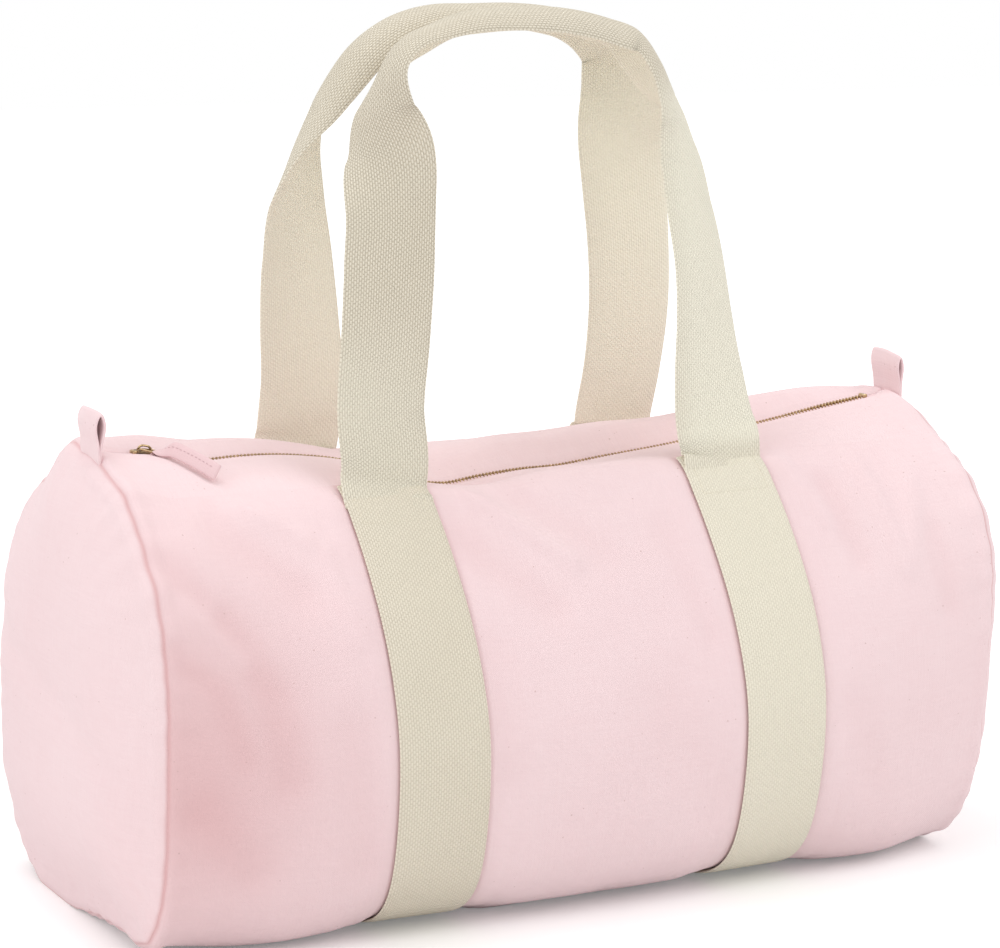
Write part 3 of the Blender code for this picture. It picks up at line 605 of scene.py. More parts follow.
def even_section(x, shares):
    """Half sections at the places x, each with points at even shares of its own length."""
    t = np.linspace(0, 1, SECTION_STEPS)
    upper_angle = section_start(x)[:, None] * (1 - t)
    lower_angle = np.broadcast_to(-pi / 2 * t[1:] ** 2.2, (len(x), SECTION_STEPS - 1))
    angle = np.concatenate([upper_angle, lower_angle], axis=1)
    y, z = half_section(x[:, None], angle)
    step = np.hypot(np.diff(y, axis=1), np.diff(z, axis=1))
    run = np.concatenate([np.zeros((len(x), 1)), np.cumsum(step, axis=1)], axis=1)
    run = run / run[:, -1:]
    even_y = np.array([np.interp(shares, *row) for row in zip(run, y)])
    even_z = np.array([np.interp(shares, *row) for row in zip(run, z)])
    return even_y, even_z, step.sum(axis=1)


HALF_ROUND = float(even_section(np.array([0.0]), np.array([0.0]))[2][0])
print("half way round the section, in metres", round(HALF_ROUND, 4))

# %% [markdown]
# ## The zip line
# The top of the bag isn't straight. The cloth stands up beside the left band, dips sharply in
# the middle and rises to both ends. Heights read off at a few places, joined by a smooth curve,
# give that line. The top cloth then falls or rises from it to the straight shoulder lines.

# %% The top of the bag
ZIP_LOW = 0.225
ZIP_END = 0.2545
ARC_SAG = ZIP_END - ZIP_LOW
ARC_RADIUS = (HALF_LENGTH ** 2 + ARC_SAG ** 2) / (2 * ARC_SAG)
LIFT_MARKS = np.array([
    (-0.250, 0.0), (-0.228, 0.0018), (-0.212, 0.0034), (-0.196, 0.0037), (-0.181, 0.0040),
    (-0.165, 0.0070), (-0.148, 0.0094), (-0.124, 0.0104), (-0.104, 0.0094), (-0.085, 0.0060),
    (-0.066, 0.0008), (-0.052, -0.0036), (-0.037, -0.0054), (-0.015, -0.0026), (0.010, -0.0005),
    (0.035, -0.0003), (0.061, 0.0014), (0.103, 0.0024), (0.160, 0.0032), (0.204, 0.0024),
    (0.230, 0.0008), (0.250, 0.0)])
PUFF_MARKS = np.array([
    (-0.250, 0.0062), (-0.232, 0.0072), (-0.205, 0.0088), (-0.175, 0.0086), (-0.145, 0.0060),
    (-0.105, 0.0036), (-0.075, 0.0010), (-0.045, 0.0020), (-0.010, 0.0066), (0.030, 0.0102),
    (0.070, 0.0098), (0.105, 0.0088), (0.140, 0.0092), (0.175, 0.0112), (0.205, 0.0104),
    (0.232, 0.0056), (0.250, 0.0010)])
LIFT_LINE = smooth_path(LIFT_MARKS, 1500)
PUFF_LINE = smooth_path(PUFF_MARKS, 1500)


def zip_arc(x):
    """The even arc that the slider runs on."""
    return ZIP_LOW + ARC_RADIUS - np.sqrt(ARC_RADIUS ** 2 - np.minimum(x * x, HALF_LENGTH ** 2))


def zip_height(x):
    """The arc, lifted or lowered by the smooth curve through the marks."""
    return zip_arc(x) + np.interp(x, LIFT_LINE[:, 0], LIFT_LINE[:, 1])


def front_dip(x, inside):
    """How far the front cloth sinks between the handles, where the zip is lowest.

    inside is the distance from the shoulder towards the zip; below the shoulder it is negative.
    """
    along = bell(x + 0.044, 0.034)
    across = smooth(-0.040, 0.0, inside) * (0.55 + 0.45 * smooth(0.0, 0.012, inside))
    return 0.0110 * along * across * smooth(0.054, 0.036, inside)


def end_fullness(x, y):
    """The left end's front corner stands up a little before it drops into the side."""
    return 0.0060 * smooth(-0.218, -0.248, x) * bell(y + 0.058, 0.017)


def crest_turn(x):
    """Half the change of slope where the top cloth meets the side cloth at the shoulder."""
    wide, _, upper, _, inside, crown = section_facts(x)
    slope_out = -crown / wide * (SHOULDER_Y / wide) ** (upper - 1) * inside ** (1 - upper)
    slope_in = -2 * (zip_height(x) - SHOULDER_HEIGHT) / SHOULDER_Y
    return (slope_in - slope_out) / 2


def crest_lift(x, distance):
    """A soft shoulder: turn times distance, dying away, so that both sides share one slope."""
    return crest_turn(x) * distance * np.exp(-distance / 0.015)


def top_height(x, y):
    """The cloth between the shoulder lines: a parabola across the bag with soft shoulders."""
    share = np.minimum(abs(y) / SHOULDER_Y, 1)
    height = SHOULDER_HEIGHT + (zip_height(x) - SHOULDER_HEIGHT) * (1 - share * share)
    puff = np.interp(x, PUFF_LINE[:, 0], PUFF_LINE[:, 1])
    puff = puff * smooth(0.02, 0.42, share) * smooth(1.0, 0.5, share)
    inside = np.maximum(SHOULDER_Y - abs(y), 0)
    sunk = front_dip(x, inside) * (y < 0)
    return height + crest_lift(x, inside) + puff * (y > 0) - sunk + end_fullness(x, y)


print("zip's height in the middle of the bag", round(float(zip_height(0.0)), 4))

# %% [markdown]
# ## Folds
# Soft folds run slantwise down from the handles' roots, shallow dents lie beside the bands, and
# the cloth puckers a little along the end seams. Each fold is a smooth furrow or ridge along a
# short line on the side of the bag: it is deepest on the line and fades across it and at its
# ends.

# %% Folds and seams as small moves of the surface
# Each row: start x, start z, end x, end z, half width, depth (minus is a furrow)
FRONT_FOLDS = np.array([
    (-0.246, 0.212, -0.216, 0.180, 0.008, -0.0024), (-0.216, 0.180, -0.194, 0.142, 0.010, -0.0038),
    (-0.194, 0.142, -0.186, 0.098, 0.011, -0.0032), (-0.246, 0.166, -0.222, 0.146, 0.007, -0.0022),
    (-0.222, 0.146, -0.210, 0.112, 0.008, -0.0022), (-0.236, 0.186, -0.208, 0.160, 0.007, 0.0024),
    (-0.232, 0.085, -0.205, 0.050, 0.014, -0.0030), (-0.150, 0.120, -0.146, 0.050, 0.014, -0.0022),
    (-0.192, 0.232, -0.158, 0.212, 0.006, 0.0028), (-0.150, 0.205, -0.144, 0.165, 0.006, 0.0020),
    (-0.205, 0.220, -0.170, 0.190, 0.010, -0.0022), (-0.056, 0.226, -0.010, 0.190, 0.0050, 0.0044),
    (-0.070, 0.205, -0.030, 0.172, 0.011, -0.0024), (-0.026, 0.222, 0.010, 0.196, 0.009, -0.0016),
    (-0.070, 0.150, -0.070, 0.090, 0.012, -0.0014), (0.052, 0.200, 0.062, 0.150, 0.009, -0.0016),
    (0.030, 0.120, 0.060, 0.060, 0.018, -0.0014), (0.160, 0.215, 0.166, 0.180, 0.008, -0.0024),
    (0.186, 0.222, 0.192, 0.172, 0.006, 0.0028), (0.212, 0.214, 0.196, 0.176, 0.006, 0.0024),
    (0.215, 0.190, 0.218, 0.150, 0.008, -0.0022), (0.150, 0.100, 0.165, 0.060, 0.014, -0.0014),
    (0.140, 0.226, 0.150, 0.200, 0.006, 0.0020)])
REAR_FOLDS = np.array([
    (-0.200, 0.180, -0.150, 0.110, 0.016, -0.0022), (-0.070, 0.190, -0.030, 0.130, 0.014, -0.0018),
    (0.060, 0.200, 0.010, 0.150, 0.014, -0.0018), (0.140, 0.190, 0.195, 0.120, 0.016, -0.0024),
    (-0.020, 0.110, 0.020, 0.060, 0.020, -0.0014), (0.220, 0.160, 0.190, 0.080, 0.013, 0.0014)])


def fold_depth(x, z, folds):
    """The deepest furrow plus the highest ridge: depth times a bell of the distance to a fold."""
    furrow, ridge = np.zeros_like(x), np.zeros_like(x)
    for x0, z0, x1, z1, half, depth in folds:
        along = np.array([x1 - x0, z1 - z0])
        share = ((x - x0) * along[0] + (z - z0) * along[1]) / (along @ along)
        near = np.clip(share, 0, 1)
        distance = np.hypot(x - x0 - near * along[0], z - z0 - near * along[1])
        shape = depth * bell(distance, half)
        furrow, ridge = np.minimum(furrow, shape), np.maximum(ridge, shape)
    return furrow + ridge


def painted_shade_amount(x, z, v):
    """Painted shade at each place, from 0 to 1: furrows, the front's left end, seams, bands' edges."""
    furrow = np.clip(-fold_depth(x, z, FRONT_FOLDS) / 0.0060, 0, 1) * (v < HALF_ROUND)
    # Painted shade: a broad patch low on the front of the left end, with no fold under it
    left_end_painted_shade = bell(x + 0.242, 0.075) * bell(z - 0.105, 0.088) * (v < HALF_ROUND)
    inset = HALF_LENGTH - abs(x)
    # Painted shade along the end seams and just beside the bands' edges
    seam = bell(inset, 0.0008)
    past = abs(abs(x) - BAND_CENTRE) - WEBBING_WIDTH / 2
    beside = bell(np.maximum(past, 0), 0.0012)
    return np.clip(0.34 * furrow + 0.74 * left_end_painted_shade + 0.95 * seam + 0.45 * beside, 0, 1)


def slackness(x, v):
    """A gentle unevenness: a few long waves that cross each other."""
    return (0.0010 * np.sin(31 * x + 17 * v + 0.6) * np.sin(23 * v - 12 * x)
            + 0.0006 * np.sin(67 * x - 29 * v + 1.7) * np.sin(41 * v + 19 * x + 0.4)
            + 0.0003 * np.sin(131 * x + 60 * v) * np.sin(97 * v - 55 * x + 1.0))


def seam_shape(x, v):
    """Beside an end seam the cloth dips into the seam, swells behind it and puckers along it."""
    inset = HALF_LENGTH - abs(x)
    dip = -SEAM_DIP * bell(inset, 0.0012)
    swell = 0.0011 * bell(inset - 0.0050, 0.0034)
    waves = np.sin(v / 0.0031 + 2.1 * np.sin(v / 0.019)) + 0.6 * np.sin(v / 0.0053 + 1.3)
    pucker = 0.00050 * waves * bell(inset - 0.004, 0.012)
    return dip + swell + pucker


def band_groove(x):
    """Under a band the cloth is held in, and just beside it the cloth stands out a little."""
    groove = 0.0
    for centre in (-BAND_CENTRE, BAND_CENTRE):
        past = abs(x - centre) - WEBBING_WIDTH / 2
        groove = groove - 0.0004 * smooth(0.003, -0.002, past)
        groove = groove + 0.0014 * bell(past - 0.0085, 0.0055)
    return groove


print("folds in front and behind", len(FRONT_FOLDS), len(REAR_FOLDS))

# %% [markdown]
# ## Leaning ends
# The bag doesn't stand quite square. Its right end leans outwards at the top and its left end a
# little too, because nothing fills the bag. A slant that grows with the height above the middle
# of the bag does this.

# %% The whole surface
LEAN_HEIGHT = 0.13
RIGHT_LEAN = 0.0097
LEFT_LEAN = 0.0039
RIGHT_TO_REAR = 0.0067
MIDDLE_TO_LEFT = 0.0016


def lean(points):
    """Shears each end along the bag with height, and the right end a little to the rear."""
    x, y, z = points[..., 0], points[..., 1], points[..., 2]
    right = np.clip(x / HALF_LENGTH, 0, 1.2) ** 3
    left = np.clip(-x / HALF_LENGTH, 0, 1.2) ** 3
    rise = np.clip((z - LEAN_HEIGHT) / LEAN_HEIGHT, -1, 1)
    slid = x + right * RIGHT_LEAN * rise + left * LEFT_LEAN * rise
    slid = slid - MIDDLE_TO_LEFT * (1 - (x / HALF_LENGTH) ** 2)
    return join(slid, y + right * RIGHT_TO_REAR, z)


def base_lift(x, y, z):
    """The left end's base curls off the floor towards the front."""
    place = smooth(0.03, -0.06, y) * smooth(-0.108, -0.066, y)
    return 0.0078 * smooth(-0.205, -0.248, x) * place * np.exp(-z / 0.010)


def side_surface(x, v, folds=True):
    """The cloth from the front shoulder line, round the base, to the rear one, as a grid.

    x holds the rows' places along the bag, and v the columns' distances round the section in
    the middle of the bag, so the cloth's pattern keeps its scale. The front half is mirrored
    for the rear.
    """
    rear = v > HALF_ROUND
    near = np.where(rear, 2 * HALF_ROUND - v, v)
    y, z, _ = even_section(x, near / HALF_ROUND)
    x, v, near, rear = np.broadcast_arrays(x[:, None], v[None, :], near[None, :], rear[None, :])
    z = z + crest_lift(x, np.maximum(abs(y) - SHOULDER_Y, 0)) * smooth(0.13, 0.17, z)
    y = np.where(rear, -y, y)
    z = z - front_dip(x, SHOULDER_Y + y) * (y < -SHOULDER_Y + 1e-9) * ~rear
    z = z + end_fullness(x, y) * smooth(0.19, 0.225, z) + base_lift(x, y, z)
    points = join(x, y, z)
    if folds:
        normal = grid_normals(points)
        below = smooth(0.0, 0.02, near)
        off_floor = smooth(0.0, 0.012, z)
        front_move = fold_depth(x, z, FRONT_FOLDS)
        rear_move = fold_depth(x, z, REAR_FOLDS)
        move = (np.where(rear, rear_move, front_move) + slackness(x, v)) * below
        move = (move * (1 - cinch(x, 0.024, 0.034)) + band_groove(x) * below) * off_floor
        move = move + seam_shape(x, v) * smooth(0.0, 0.004, z)
        points = points + normal * move[..., None]
        points[..., 2] = np.maximum(points[..., 2], 0.0)
    return lean(points)


# %% Body cloth
EVEN_FROM = 0.2354
ROUND_FROM = 0.008
near_seam = np.array([0, 0.0006, 0.0012, 0.0019, 0.0028, 0.0038, 0.005, 0.0064, 0.008, 0.010, 0.0122])
inner_rows = np.linspace(-EVEN_FROM, EVEN_FROM, 176)
body_x = np.concatenate([near_seam - HALF_LENGTH, inner_rows, HALF_LENGTH - near_seam[::-1]])
near_shoulder = np.array([0, 0.0006, 0.0014, 0.0024, 0.0038, 0.0056])
round_steps = np.linspace(ROUND_FROM, 2 * HALF_ROUND - ROUND_FROM, 214)
body_v = np.concatenate([near_shoulder, round_steps, 2 * HALF_ROUND - near_shoulder[::-1]])
side_x, side_v = np.meshgrid(body_x, body_v, indexing="ij")
side = side_surface(body_x, body_v)
# Painted shade for the body's cloth, from 0 to 1 at each point
body_painted_shade = painted_shade_amount(side_x, side[..., 2], side_v)
body_flat = join(side_x, side_v)
body_cloth = shell("body_cloth", side, CLOTH, CANVAS, body_flat, body_painted_shade)
dress(body_cloth, ["body_panel"], "bag_body")
print("body cloth", side.shape, "faces", len(body_cloth.data.polygons))

# %% [markdown]
# ## The mouth
# The zip divides the top cloth into a front flap and a rear one. When the zip is open they part
# into a lens: the cloth stays where it is at the ends and turns up between them. Each flap is
# made here as two wide halves, one from each end of the bag to its middle, and as hem strips
# beside the shoulder line; all of them stay where they are made.

# %% Mouth flaps
ZIP_EDGE = 0.0030
LEFT_BEND = (-0.2490, -0.1750)
RIGHT_BEND = (0.2490, 0.2225)


def zip_edge(x):
    """How far the cloth's edge is from the zip's middle: the edges meet at the bag's ends."""
    return 0.0003 + (ZIP_EDGE - 0.0003) * smooth(0.2440, 0.2375, abs(x))


def bend_mouth(piece):
    """A piece of the mouth: its place is baked into its points, and it stays where it is made."""
    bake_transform(piece)


def flap_surface(x, y):
    """The top cloth, which dips to the zip tape over its last few millimetres."""
    past_edge = abs(y) - zip_edge(x)
    edge = bell(past_edge, 0.0028)
    open_part = 0.0020 * bell(x + 0.018, 0.070) * (y < 0)
    turned = (0.0013 + open_part) * edge + 0.0006 * smooth(0.0012, 0.0, past_edge)
    ripple = 0.0005 * np.sin(85 * x + 1.0) * np.sin(pi * np.clip(past_edge / 0.054, 0, 1))
    z = top_height(x, y) - turned + ripple
    inset = HALF_LENGTH - abs(x)
    seam = 0.0009 * bell(inset - 0.005, 0.0034) - SEAM_DIP * bell(inset, 0.0016)
    return lean(join(x, y, z + seam))


edge_steps = np.array([0.0045, 0.0032, 0.0021, 0.0013, 0.0007, 0.0003, 0])
flap_steps = np.concatenate([near_shoulder, np.linspace(ROUND_FROM, 0.0478, 22),
                             SHOULDER_Y - ZIP_EDGE - edge_steps])
half_rows = np.concatenate([near_seam - HALF_LENGTH, np.linspace(-EVEN_FROM, 0.0, 96)])
hem_steps, wide_steps = flap_steps[:10], flap_steps[9:]


def flap_piece(name, side_name, way, rows, steps):
    """A piece of the top cloth: rows along the bag, steps inwards from the shoulder.

    Beside the shoulder it is drawn to the edge of the body's cloth, so that the two meet.
    """
    across = np.sort(way * (SHOULDER_Y - steps))[::-1]
    flap_x, flap_y = np.meshgrid(rows, across, indexing="ij")
    inwards = smooth(0.030, 0.0, abs(flap_y)) * (ZIP_EDGE - zip_edge(flap_x))
    flap_y = flap_y - way * inwards
    flap = flap_surface(flap_x, flap_y)
    beside_edge = near_shoulder[:2] if way < 0 else 2 * HALF_ROUND - near_shoulder[1::-1]
    body_edge = side_surface(rows, beside_edge)[:, 0 if way < 0 else -1]
    flap_edge = flap_surface(rows, np.full(len(rows), way * SHOULDER_Y))
    beside = smooth(0.0120, 0.0, SHOULDER_Y - abs(flap_y))[..., None]
    flap = flap + (body_edge - flap_edge)[:, None] * beside
    flat = join(flap_x, flap_y)
    if grid_normals(flap)[..., 2].mean() < 0:
        flap, flat = flap[:, ::-1], flat[:, ::-1]
    # Painted shade along the end seams
    seam_painted_shade = 0.9 * bell(HALF_LENGTH - abs(flat[..., 0]), 0.0008)
    cloth = shell(name, flap, CLOTH, CANVAS, flat, seam_painted_shade)
    dress(cloth, ["mouth_flap_" + side_name])
    return cloth


# Each row: end, rows at the end, rows beside the middle, bend, and the two hems' turns
FLAP_HALVES = (
    ("left", half_rows, half_rows[:36], half_rows[35:], LEFT_BEND,
     (LEFT_BEND[1], 0.0, 0.0, 1 / (LEFT_BEND[1] - LEFT_BEND[0])), (0.0, 0.0, 0.0, 0.0)),
    ("right", -half_rows[::-1], -half_rows[18::-1], -half_rows[:17:-1], RIGHT_BEND,
     (RIGHT_BEND[1], 0.0044, 0.065, -1 / (RIGHT_BEND[0] - RIGHT_BEND[1])), (0.0, 0.0, 0.0202, 0.0)))
for side_name, way in (("front", -1), ("rear", 1)):
    for end_name, rows, end_rows, middle_rows, bend, end_turn, middle_turn in FLAP_HALVES:
        wide = flap_piece(f"mouth_cloth_{side_name}_{end_name}", side_name, way, rows, wide_steps)
        bend_mouth(wide)
        for ending, part, turn in (("_end", end_rows, end_turn), ("", middle_rows, middle_turn)):
            hem_name = f"mouth_hem_{side_name}_{end_name}{ending}"
            hem = flap_piece(hem_name, side_name, way, part, hem_steps)
            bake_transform(hem)
            print(hem_name, "from", round(float(part[0]), 4), "to", round(float(part[-1]), 4))

# %% [markdown]
# ## End panels
# Each end is one disc of canvas sewn to the barrel. It bulges outwards, most near its middle,
# while its lower edge stays flat on the floor. A polar grid follows the seam exactly: its
# outermost ring is the barrel's own end, and each ring inside it steps towards the centre.

# %% End panels
PANEL_RINGS = 64
PANEL_RADIUS = 0.12
# Each row: name, way along the bag, height of the bulge's centre and how far it stands out
PANELS = (("left", -1, 0.1315, 0.0228), ("right", 1, 0.1523, 0.0275))


def end_rim(side, count):
    """The barrel's end as a closed ring: round the side, then across the top."""
    v = np.linspace(0, 2 * HALF_ROUND, count, endpoint=False)
    rows = np.sort(side * (HALF_LENGTH - np.array([0.0, 0.0001])))
    low = side_surface(rows, v)[0 if side < 0 else 1]
    y = np.linspace(SHOULDER_Y, -SHOULDER_Y, count // 6, endpoint=False)
    x = np.full_like(y, side * HALF_LENGTH)
    high = lean(join(x, y, top_height(x, y) - SEAM_DIP))
    return np.concatenate([low, high])


def panel_surface(side, share, rim, centre_z, bulge):
    """Points at shares of the way from the centre to the rim, pushed out by the bulge.

    The bulge is one minus the share to the power 4.4, less near the floor. A swell and puckers
    lie beside the seam, there are a shallow dent and a few slack waves, and the left panel has
    a sagging crease.
    """
    middle = np.array([side * HALF_LENGTH, 0.0, centre_z])
    points = middle + (rim[None] - middle) * share[:, None, None]
    y, z = points[..., 1], points[..., 2]
    inward = 1 - share[:, None]
    out = 0.0002 + bulge * (1 - share[:, None] ** 4.4) * smooth(-0.012, 0.070, z)
    crease = 0.0030 * bell(z - 0.125 - 0.25 * y, 0.012) * smooth(0.0, 0.35, inward)
    dent = 0.0014 * bell(z - 0.155, 0.030) * bell(y + 0.02, 0.05)
    waves = 0.0010 * np.sin(34 * y + 21 * z) * np.sin(40 * z - 16 * y) * smooth(0.0, 0.3, inward)
    distance = inward * PANEL_RADIUS
    swell = 0.0012 * bell(distance - 0.0045, 0.0035) * smooth(0.0, 0.001, distance)
    run = np.linspace(0, 2.4 * HALF_ROUND, len(rim), endpoint=False)
    pucker = np.sin(run / 0.0034 + 2 * np.sin(run / 0.02)) + 0.5 * np.sin(run / 0.0058)
    pucker = 0.0003 * pucker * bell(distance - 0.005, 0.010) * smooth(0.0, 0.002, distance)
    out = out - crease * (side < 0) - dent + swell + (waves + pucker) * smooth(0.0, 0.02, z)
    points[..., 0] = points[..., 0] + side * out
    return points


even_rings = 1 - np.linspace(0, 1, PANEL_RINGS) ** 1.35 * 0.997
even_rings = even_rings[even_rings < 1 - near_seam[-1] / PANEL_RADIUS]
panel_share = np.concatenate([1 - near_seam[:-1] / PANEL_RADIUS, even_rings])
from_seam = (1 - np.concatenate([panel_share[::-1], panel_share])) * PANEL_RADIUS
for side_name, side_way, centre_z, bulge in PANELS:
    rim = end_rim(side_way, 240)
    outer = panel_surface(side_way, panel_share, rim, centre_z, bulge)
    inner = outer - np.array([side_way * CLOTH, 0, 0])
    rings = np.concatenate([inner[::-1], outer])
    if side_way > 0:
        rings = rings[:, ::-1]
    # Painted shade along the seam round the panel's rim
    seam_painted_shade = np.broadcast_to(0.9 * bell(from_seam, 0.0008)[:, None], rings.shape[:2])
    end_cloth = tube("end_cloth_" + side_name, rings, CANVAS, rings[..., 1:], painted_shade=seam_painted_shade)
    size = np.ptp(rim, axis=0)
    dress(end_cloth, ["end_panel_" + side_name], "bag_body")
    print("end cloth", side_name, rings.shape)

# %% [markdown]
# ## Bands and handles
# Two lengths of webbing go right round the bag and rise from it as handles. A strap is a flat
# ring of points, thin at its two woven edges, carried along its middle line. The bands lie on
# the body's own surface. The handles leave it upright, twist so that their face turns up, and
# curl round their middle where a hand would hold them.

# %% Webbing along a line
half_ring = np.linspace(-1, 1, 19)
half_ring = np.sign(half_ring) * (1 - (1 - abs(half_ring)) ** 1.5)
RING_ACROSS, RING_UP = flat_ring(half_ring, 14)
FACE_ROWS = 9


def band_face(centre, v):
    """The cloth under a band, as a few rows across it, and its normals."""
    rows = centre + np.linspace(-1, 1, FACE_ROWS) * WEBBING_WIDTH / 2
    cloth = side_surface(rows, v, folds=False)
    return cloth, grid_normals(cloth)


def between_rows(grid, across):
    """A band's face read at shares from -1 to 1 across it: a mix of the rows on both sides."""
    place = (across + 1) / 2 * (FACE_ROWS - 1)
    low = np.clip(place.astype(int), 0, FACE_ROWS - 2)
    part = (place - low)[:, None, None]
    return grid[low] * (1 - part) + grid[low + 1] * part


def band_rings(centre, v):
    """The band's rings on the body: the cloth's surface plus its normal times the ring's height."""
    cloth, normal = band_face(centre, v)
    up = unit(between_rows(normal, RING_ACROSS))
    lift = WEBBING_LIFT + WEBBING / 2 + RING_UP[:, None, None] * WEBBING / 2
    rings = np.transpose(between_rows(cloth, RING_ACROSS) + up * lift, (1, 0, 2))
    rings[..., 2] = np.maximum(rings[..., 2], 0.0)
    return rings, join(RING_ACROSS * WEBBING_WIDTH / 2, v[:, None])


BAND_START = 0.0035
band_v = np.linspace(BAND_START, 2 * HALF_ROUND - BAND_START, 300)
for side_name, centre in (("left", -BAND_CENTRE), ("right", BAND_CENTRE)):
    rings, uv = band_rings(centre, band_v)
    band = tube("band_webbing_" + side_name, rings, WEBBING_TIGHT, uv)
    # Painted light: the right band is painted paler, standing in for stronger light from the right
    hold_value(band.data, "painted_light", np.full(rings.shape[:2], 0.36 if centre > 0 else 0.0))
    dress(band, ["webbing_band_" + side_name], "bag_body")
    print("band", side_name, "front end", np.round(rings[0].mean(axis=0), 4))

# %% Handle lines
HANDLE_RISE = 0.2475
ARCH_GAP = 0.004
CURL = radians(135)
HINGE_Y = 0.062259
HINGE_HEIGHT = 0.234908
# For the front and the rear handle: the bend's two places at the left and at the right band
BEND_PLACES = {-1: ((-1.004, -0.992), (1.0, 1.0)), 1: ((-0.980, -0.966), (1.0, 1.005))}
# Each row: place along the bag in band places, share of the rise, turn and curl in degrees
FRONT_LINE = np.array([
    (-1.0, 0.0, 0, 0), (-0.985, 0.15, 0, 0), (-0.93, 0.292, 3, 0), (-0.876, 0.447, 6, 2),
    (-0.835, 0.584, 8, 21), (-0.836, 0.689, 33, 54), (-0.90, 0.785, 72, 84), (-0.845, 0.862, 106, 98),
    (-0.76, 0.912, 110, 108), (-0.68, 0.937, 109, 113), (-0.55, 0.959, 104, 116),
    (-0.355, 0.986, 97, 117), (-0.12, 0.995, 93, 120), (0.12, 0.996, 90, 126), (0.333, 0.986, 88, 129),
    (0.514, 0.968, 86, 128), (0.66, 0.947, 85, 125), (0.775, 0.885, 84, 118), (0.86, 0.815, 73, 105),
    (0.925, 0.752, 54, 88), (0.951, 0.679, 38, 66), (0.968, 0.552, 31, 40), (0.985, 0.427, 28, 22),
    (0.98, 0.30, 22, 10), (0.972, 0.18, 12, 2), (0.985, 0.07, 3, 0), (1.0, 0.0, 0, 0)])
REAR_LINE = np.array([
    (-1.0, 0.0, 0, 0), (-0.962, 0.075, 0, 0), (-0.958, 0.15, 1, 0), (-0.995, 0.29, 7, 2),
    (-1.045, 0.45, 17, 13), (-1.09, 0.582, 31, 42), (-1.073, 0.692, 55, 80), (-1.0, 0.772, 75, 108),
    (-0.885, 0.855, 86, 127), (-0.765, 0.917, 90, 134), (-0.597, 0.966, 92, 135),
    (-0.37, 0.996, 91, 135), (-0.10, 1.0, 90, 135), (0.16, 1.0, 90, 135), (0.40, 0.99, 90, 135),
    (0.60, 0.97, 86, 127), (0.74, 0.938, 77, 106), (0.85, 0.893, 62, 77), (0.887, 0.82, 43, 45),
    (0.888, 0.709, 23, 17), (0.932, 0.589, 11, 4), (0.994, 0.45, 7, 0), (1.035, 0.30, 5, 0),
    (1.03, 0.145, 1, 0), (1.0, 0.0, 0, 0)])


def handle_root(outward, centre):
    """Two points in the band's own thickness, just below its end, where the handle begins."""
    v = np.array([0.0200, 0.0140])
    sink = np.array([-0.0007, 0.00012])
    if outward > 0:
        v = 2 * HALF_ROUND - v
    order = np.argsort(v)
    rows = centre + np.array([-0.0005, 0.0005]) + (0.0015 if outward > 0 > centre else 0.0)
    cloth = side_surface(rows, v[order], folds=False)
    height = WEBBING_LIFT + WEBBING / 2 + sink[order][:, None]
    middle = cloth + grid_normals(cloth) * height
    return middle.mean(axis=0)[np.argsort(order)]


def handle_guide(line, outward, count=460):
    """The handle's middle line: up from one band, over and down to the other, with its turns."""
    base_y = outward * (HINGE_Y - WEBBING / 2 - GAP)
    half_arch = WEBBING_WIDTH / CURL * sin(CURL / 2)
    arch_y = outward * (half_arch + ARCH_GAP / 2)
    toward = np.clip((line[:, 1] - 0.05) / 0.91, 0, 1)
    guide = join(line[:, 0] * BAND_CENTRE, base_y + (arch_y - base_y) * toward,
                 HINGE_HEIGHT + HANDLE_RISE * line[:, 1])
    first, last = handle_root(outward, -BAND_CENTRE), handle_root(outward, BAND_CENTRE)
    bend = np.array([(0.0641 * outward, HINGE_HEIGHT - 0.0006),
                     (0.0627 * outward, HINGE_HEIGHT + 0.0070)])
    left_x, right_x = BEND_PLACES[outward]
    left = np.column_stack([np.array(left_x) * BAND_CENTRE, bend])
    right = np.column_stack([np.array(right_x) * BAND_CENTRE, bend])
    guide = np.concatenate([first, left, guide[1:-1], right[::-1], last[::-1]])
    turns = np.radians(np.pad(line[1:-1, 2:], ((4, 4), (0, 0))))
    return smooth_path(np.concatenate([guide, turns], axis=1), count)


def handle_rings(line, outward):
    """The handle's rings: a ring in the plane across the line, turned and curled as it rises.

    The face turns from outwards towards upwards by the line's turn, and the ring's flat line
    becomes an arc of the same length: its radius is the width over the curl.
    """
    guide = handle_guide(line, outward)
    path = guide[:, :3]
    turned = guide[:, 3:4]
    curl = np.maximum(guide[:, 4:5], radians(0.01))
    forward = unit(np.gradient(path, axis=0))
    face = unit(np.array([0.0, outward, 0.0]) - forward * (forward[:, 1:2] * outward))
    away = np.cross(face, forward) * -outward
    normal = face * np.cos(turned) + away * np.sin(turned)
    across = np.cross(forward, normal)[:, None, :]
    normal = normal[:, None, :]
    radius = (WEBBING_WIDTH / curl)[..., None]
    angle = (curl * RING_ACROSS[None, :] / 2)[..., None]
    middle = path[:, None, :] + across * radius * np.sin(angle) - normal * radius * (1 - np.cos(angle))
    skin = normal * np.cos(angle) + across * np.sin(angle)
    rings = middle + skin * (RING_UP * WEBBING / 2)[None, :, None]
    run = way_along(path)
    uv = join(RING_ACROSS[None, :] * WEBBING_WIDTH / 2, -run[:, None])
    return rings, uv, run[-1]


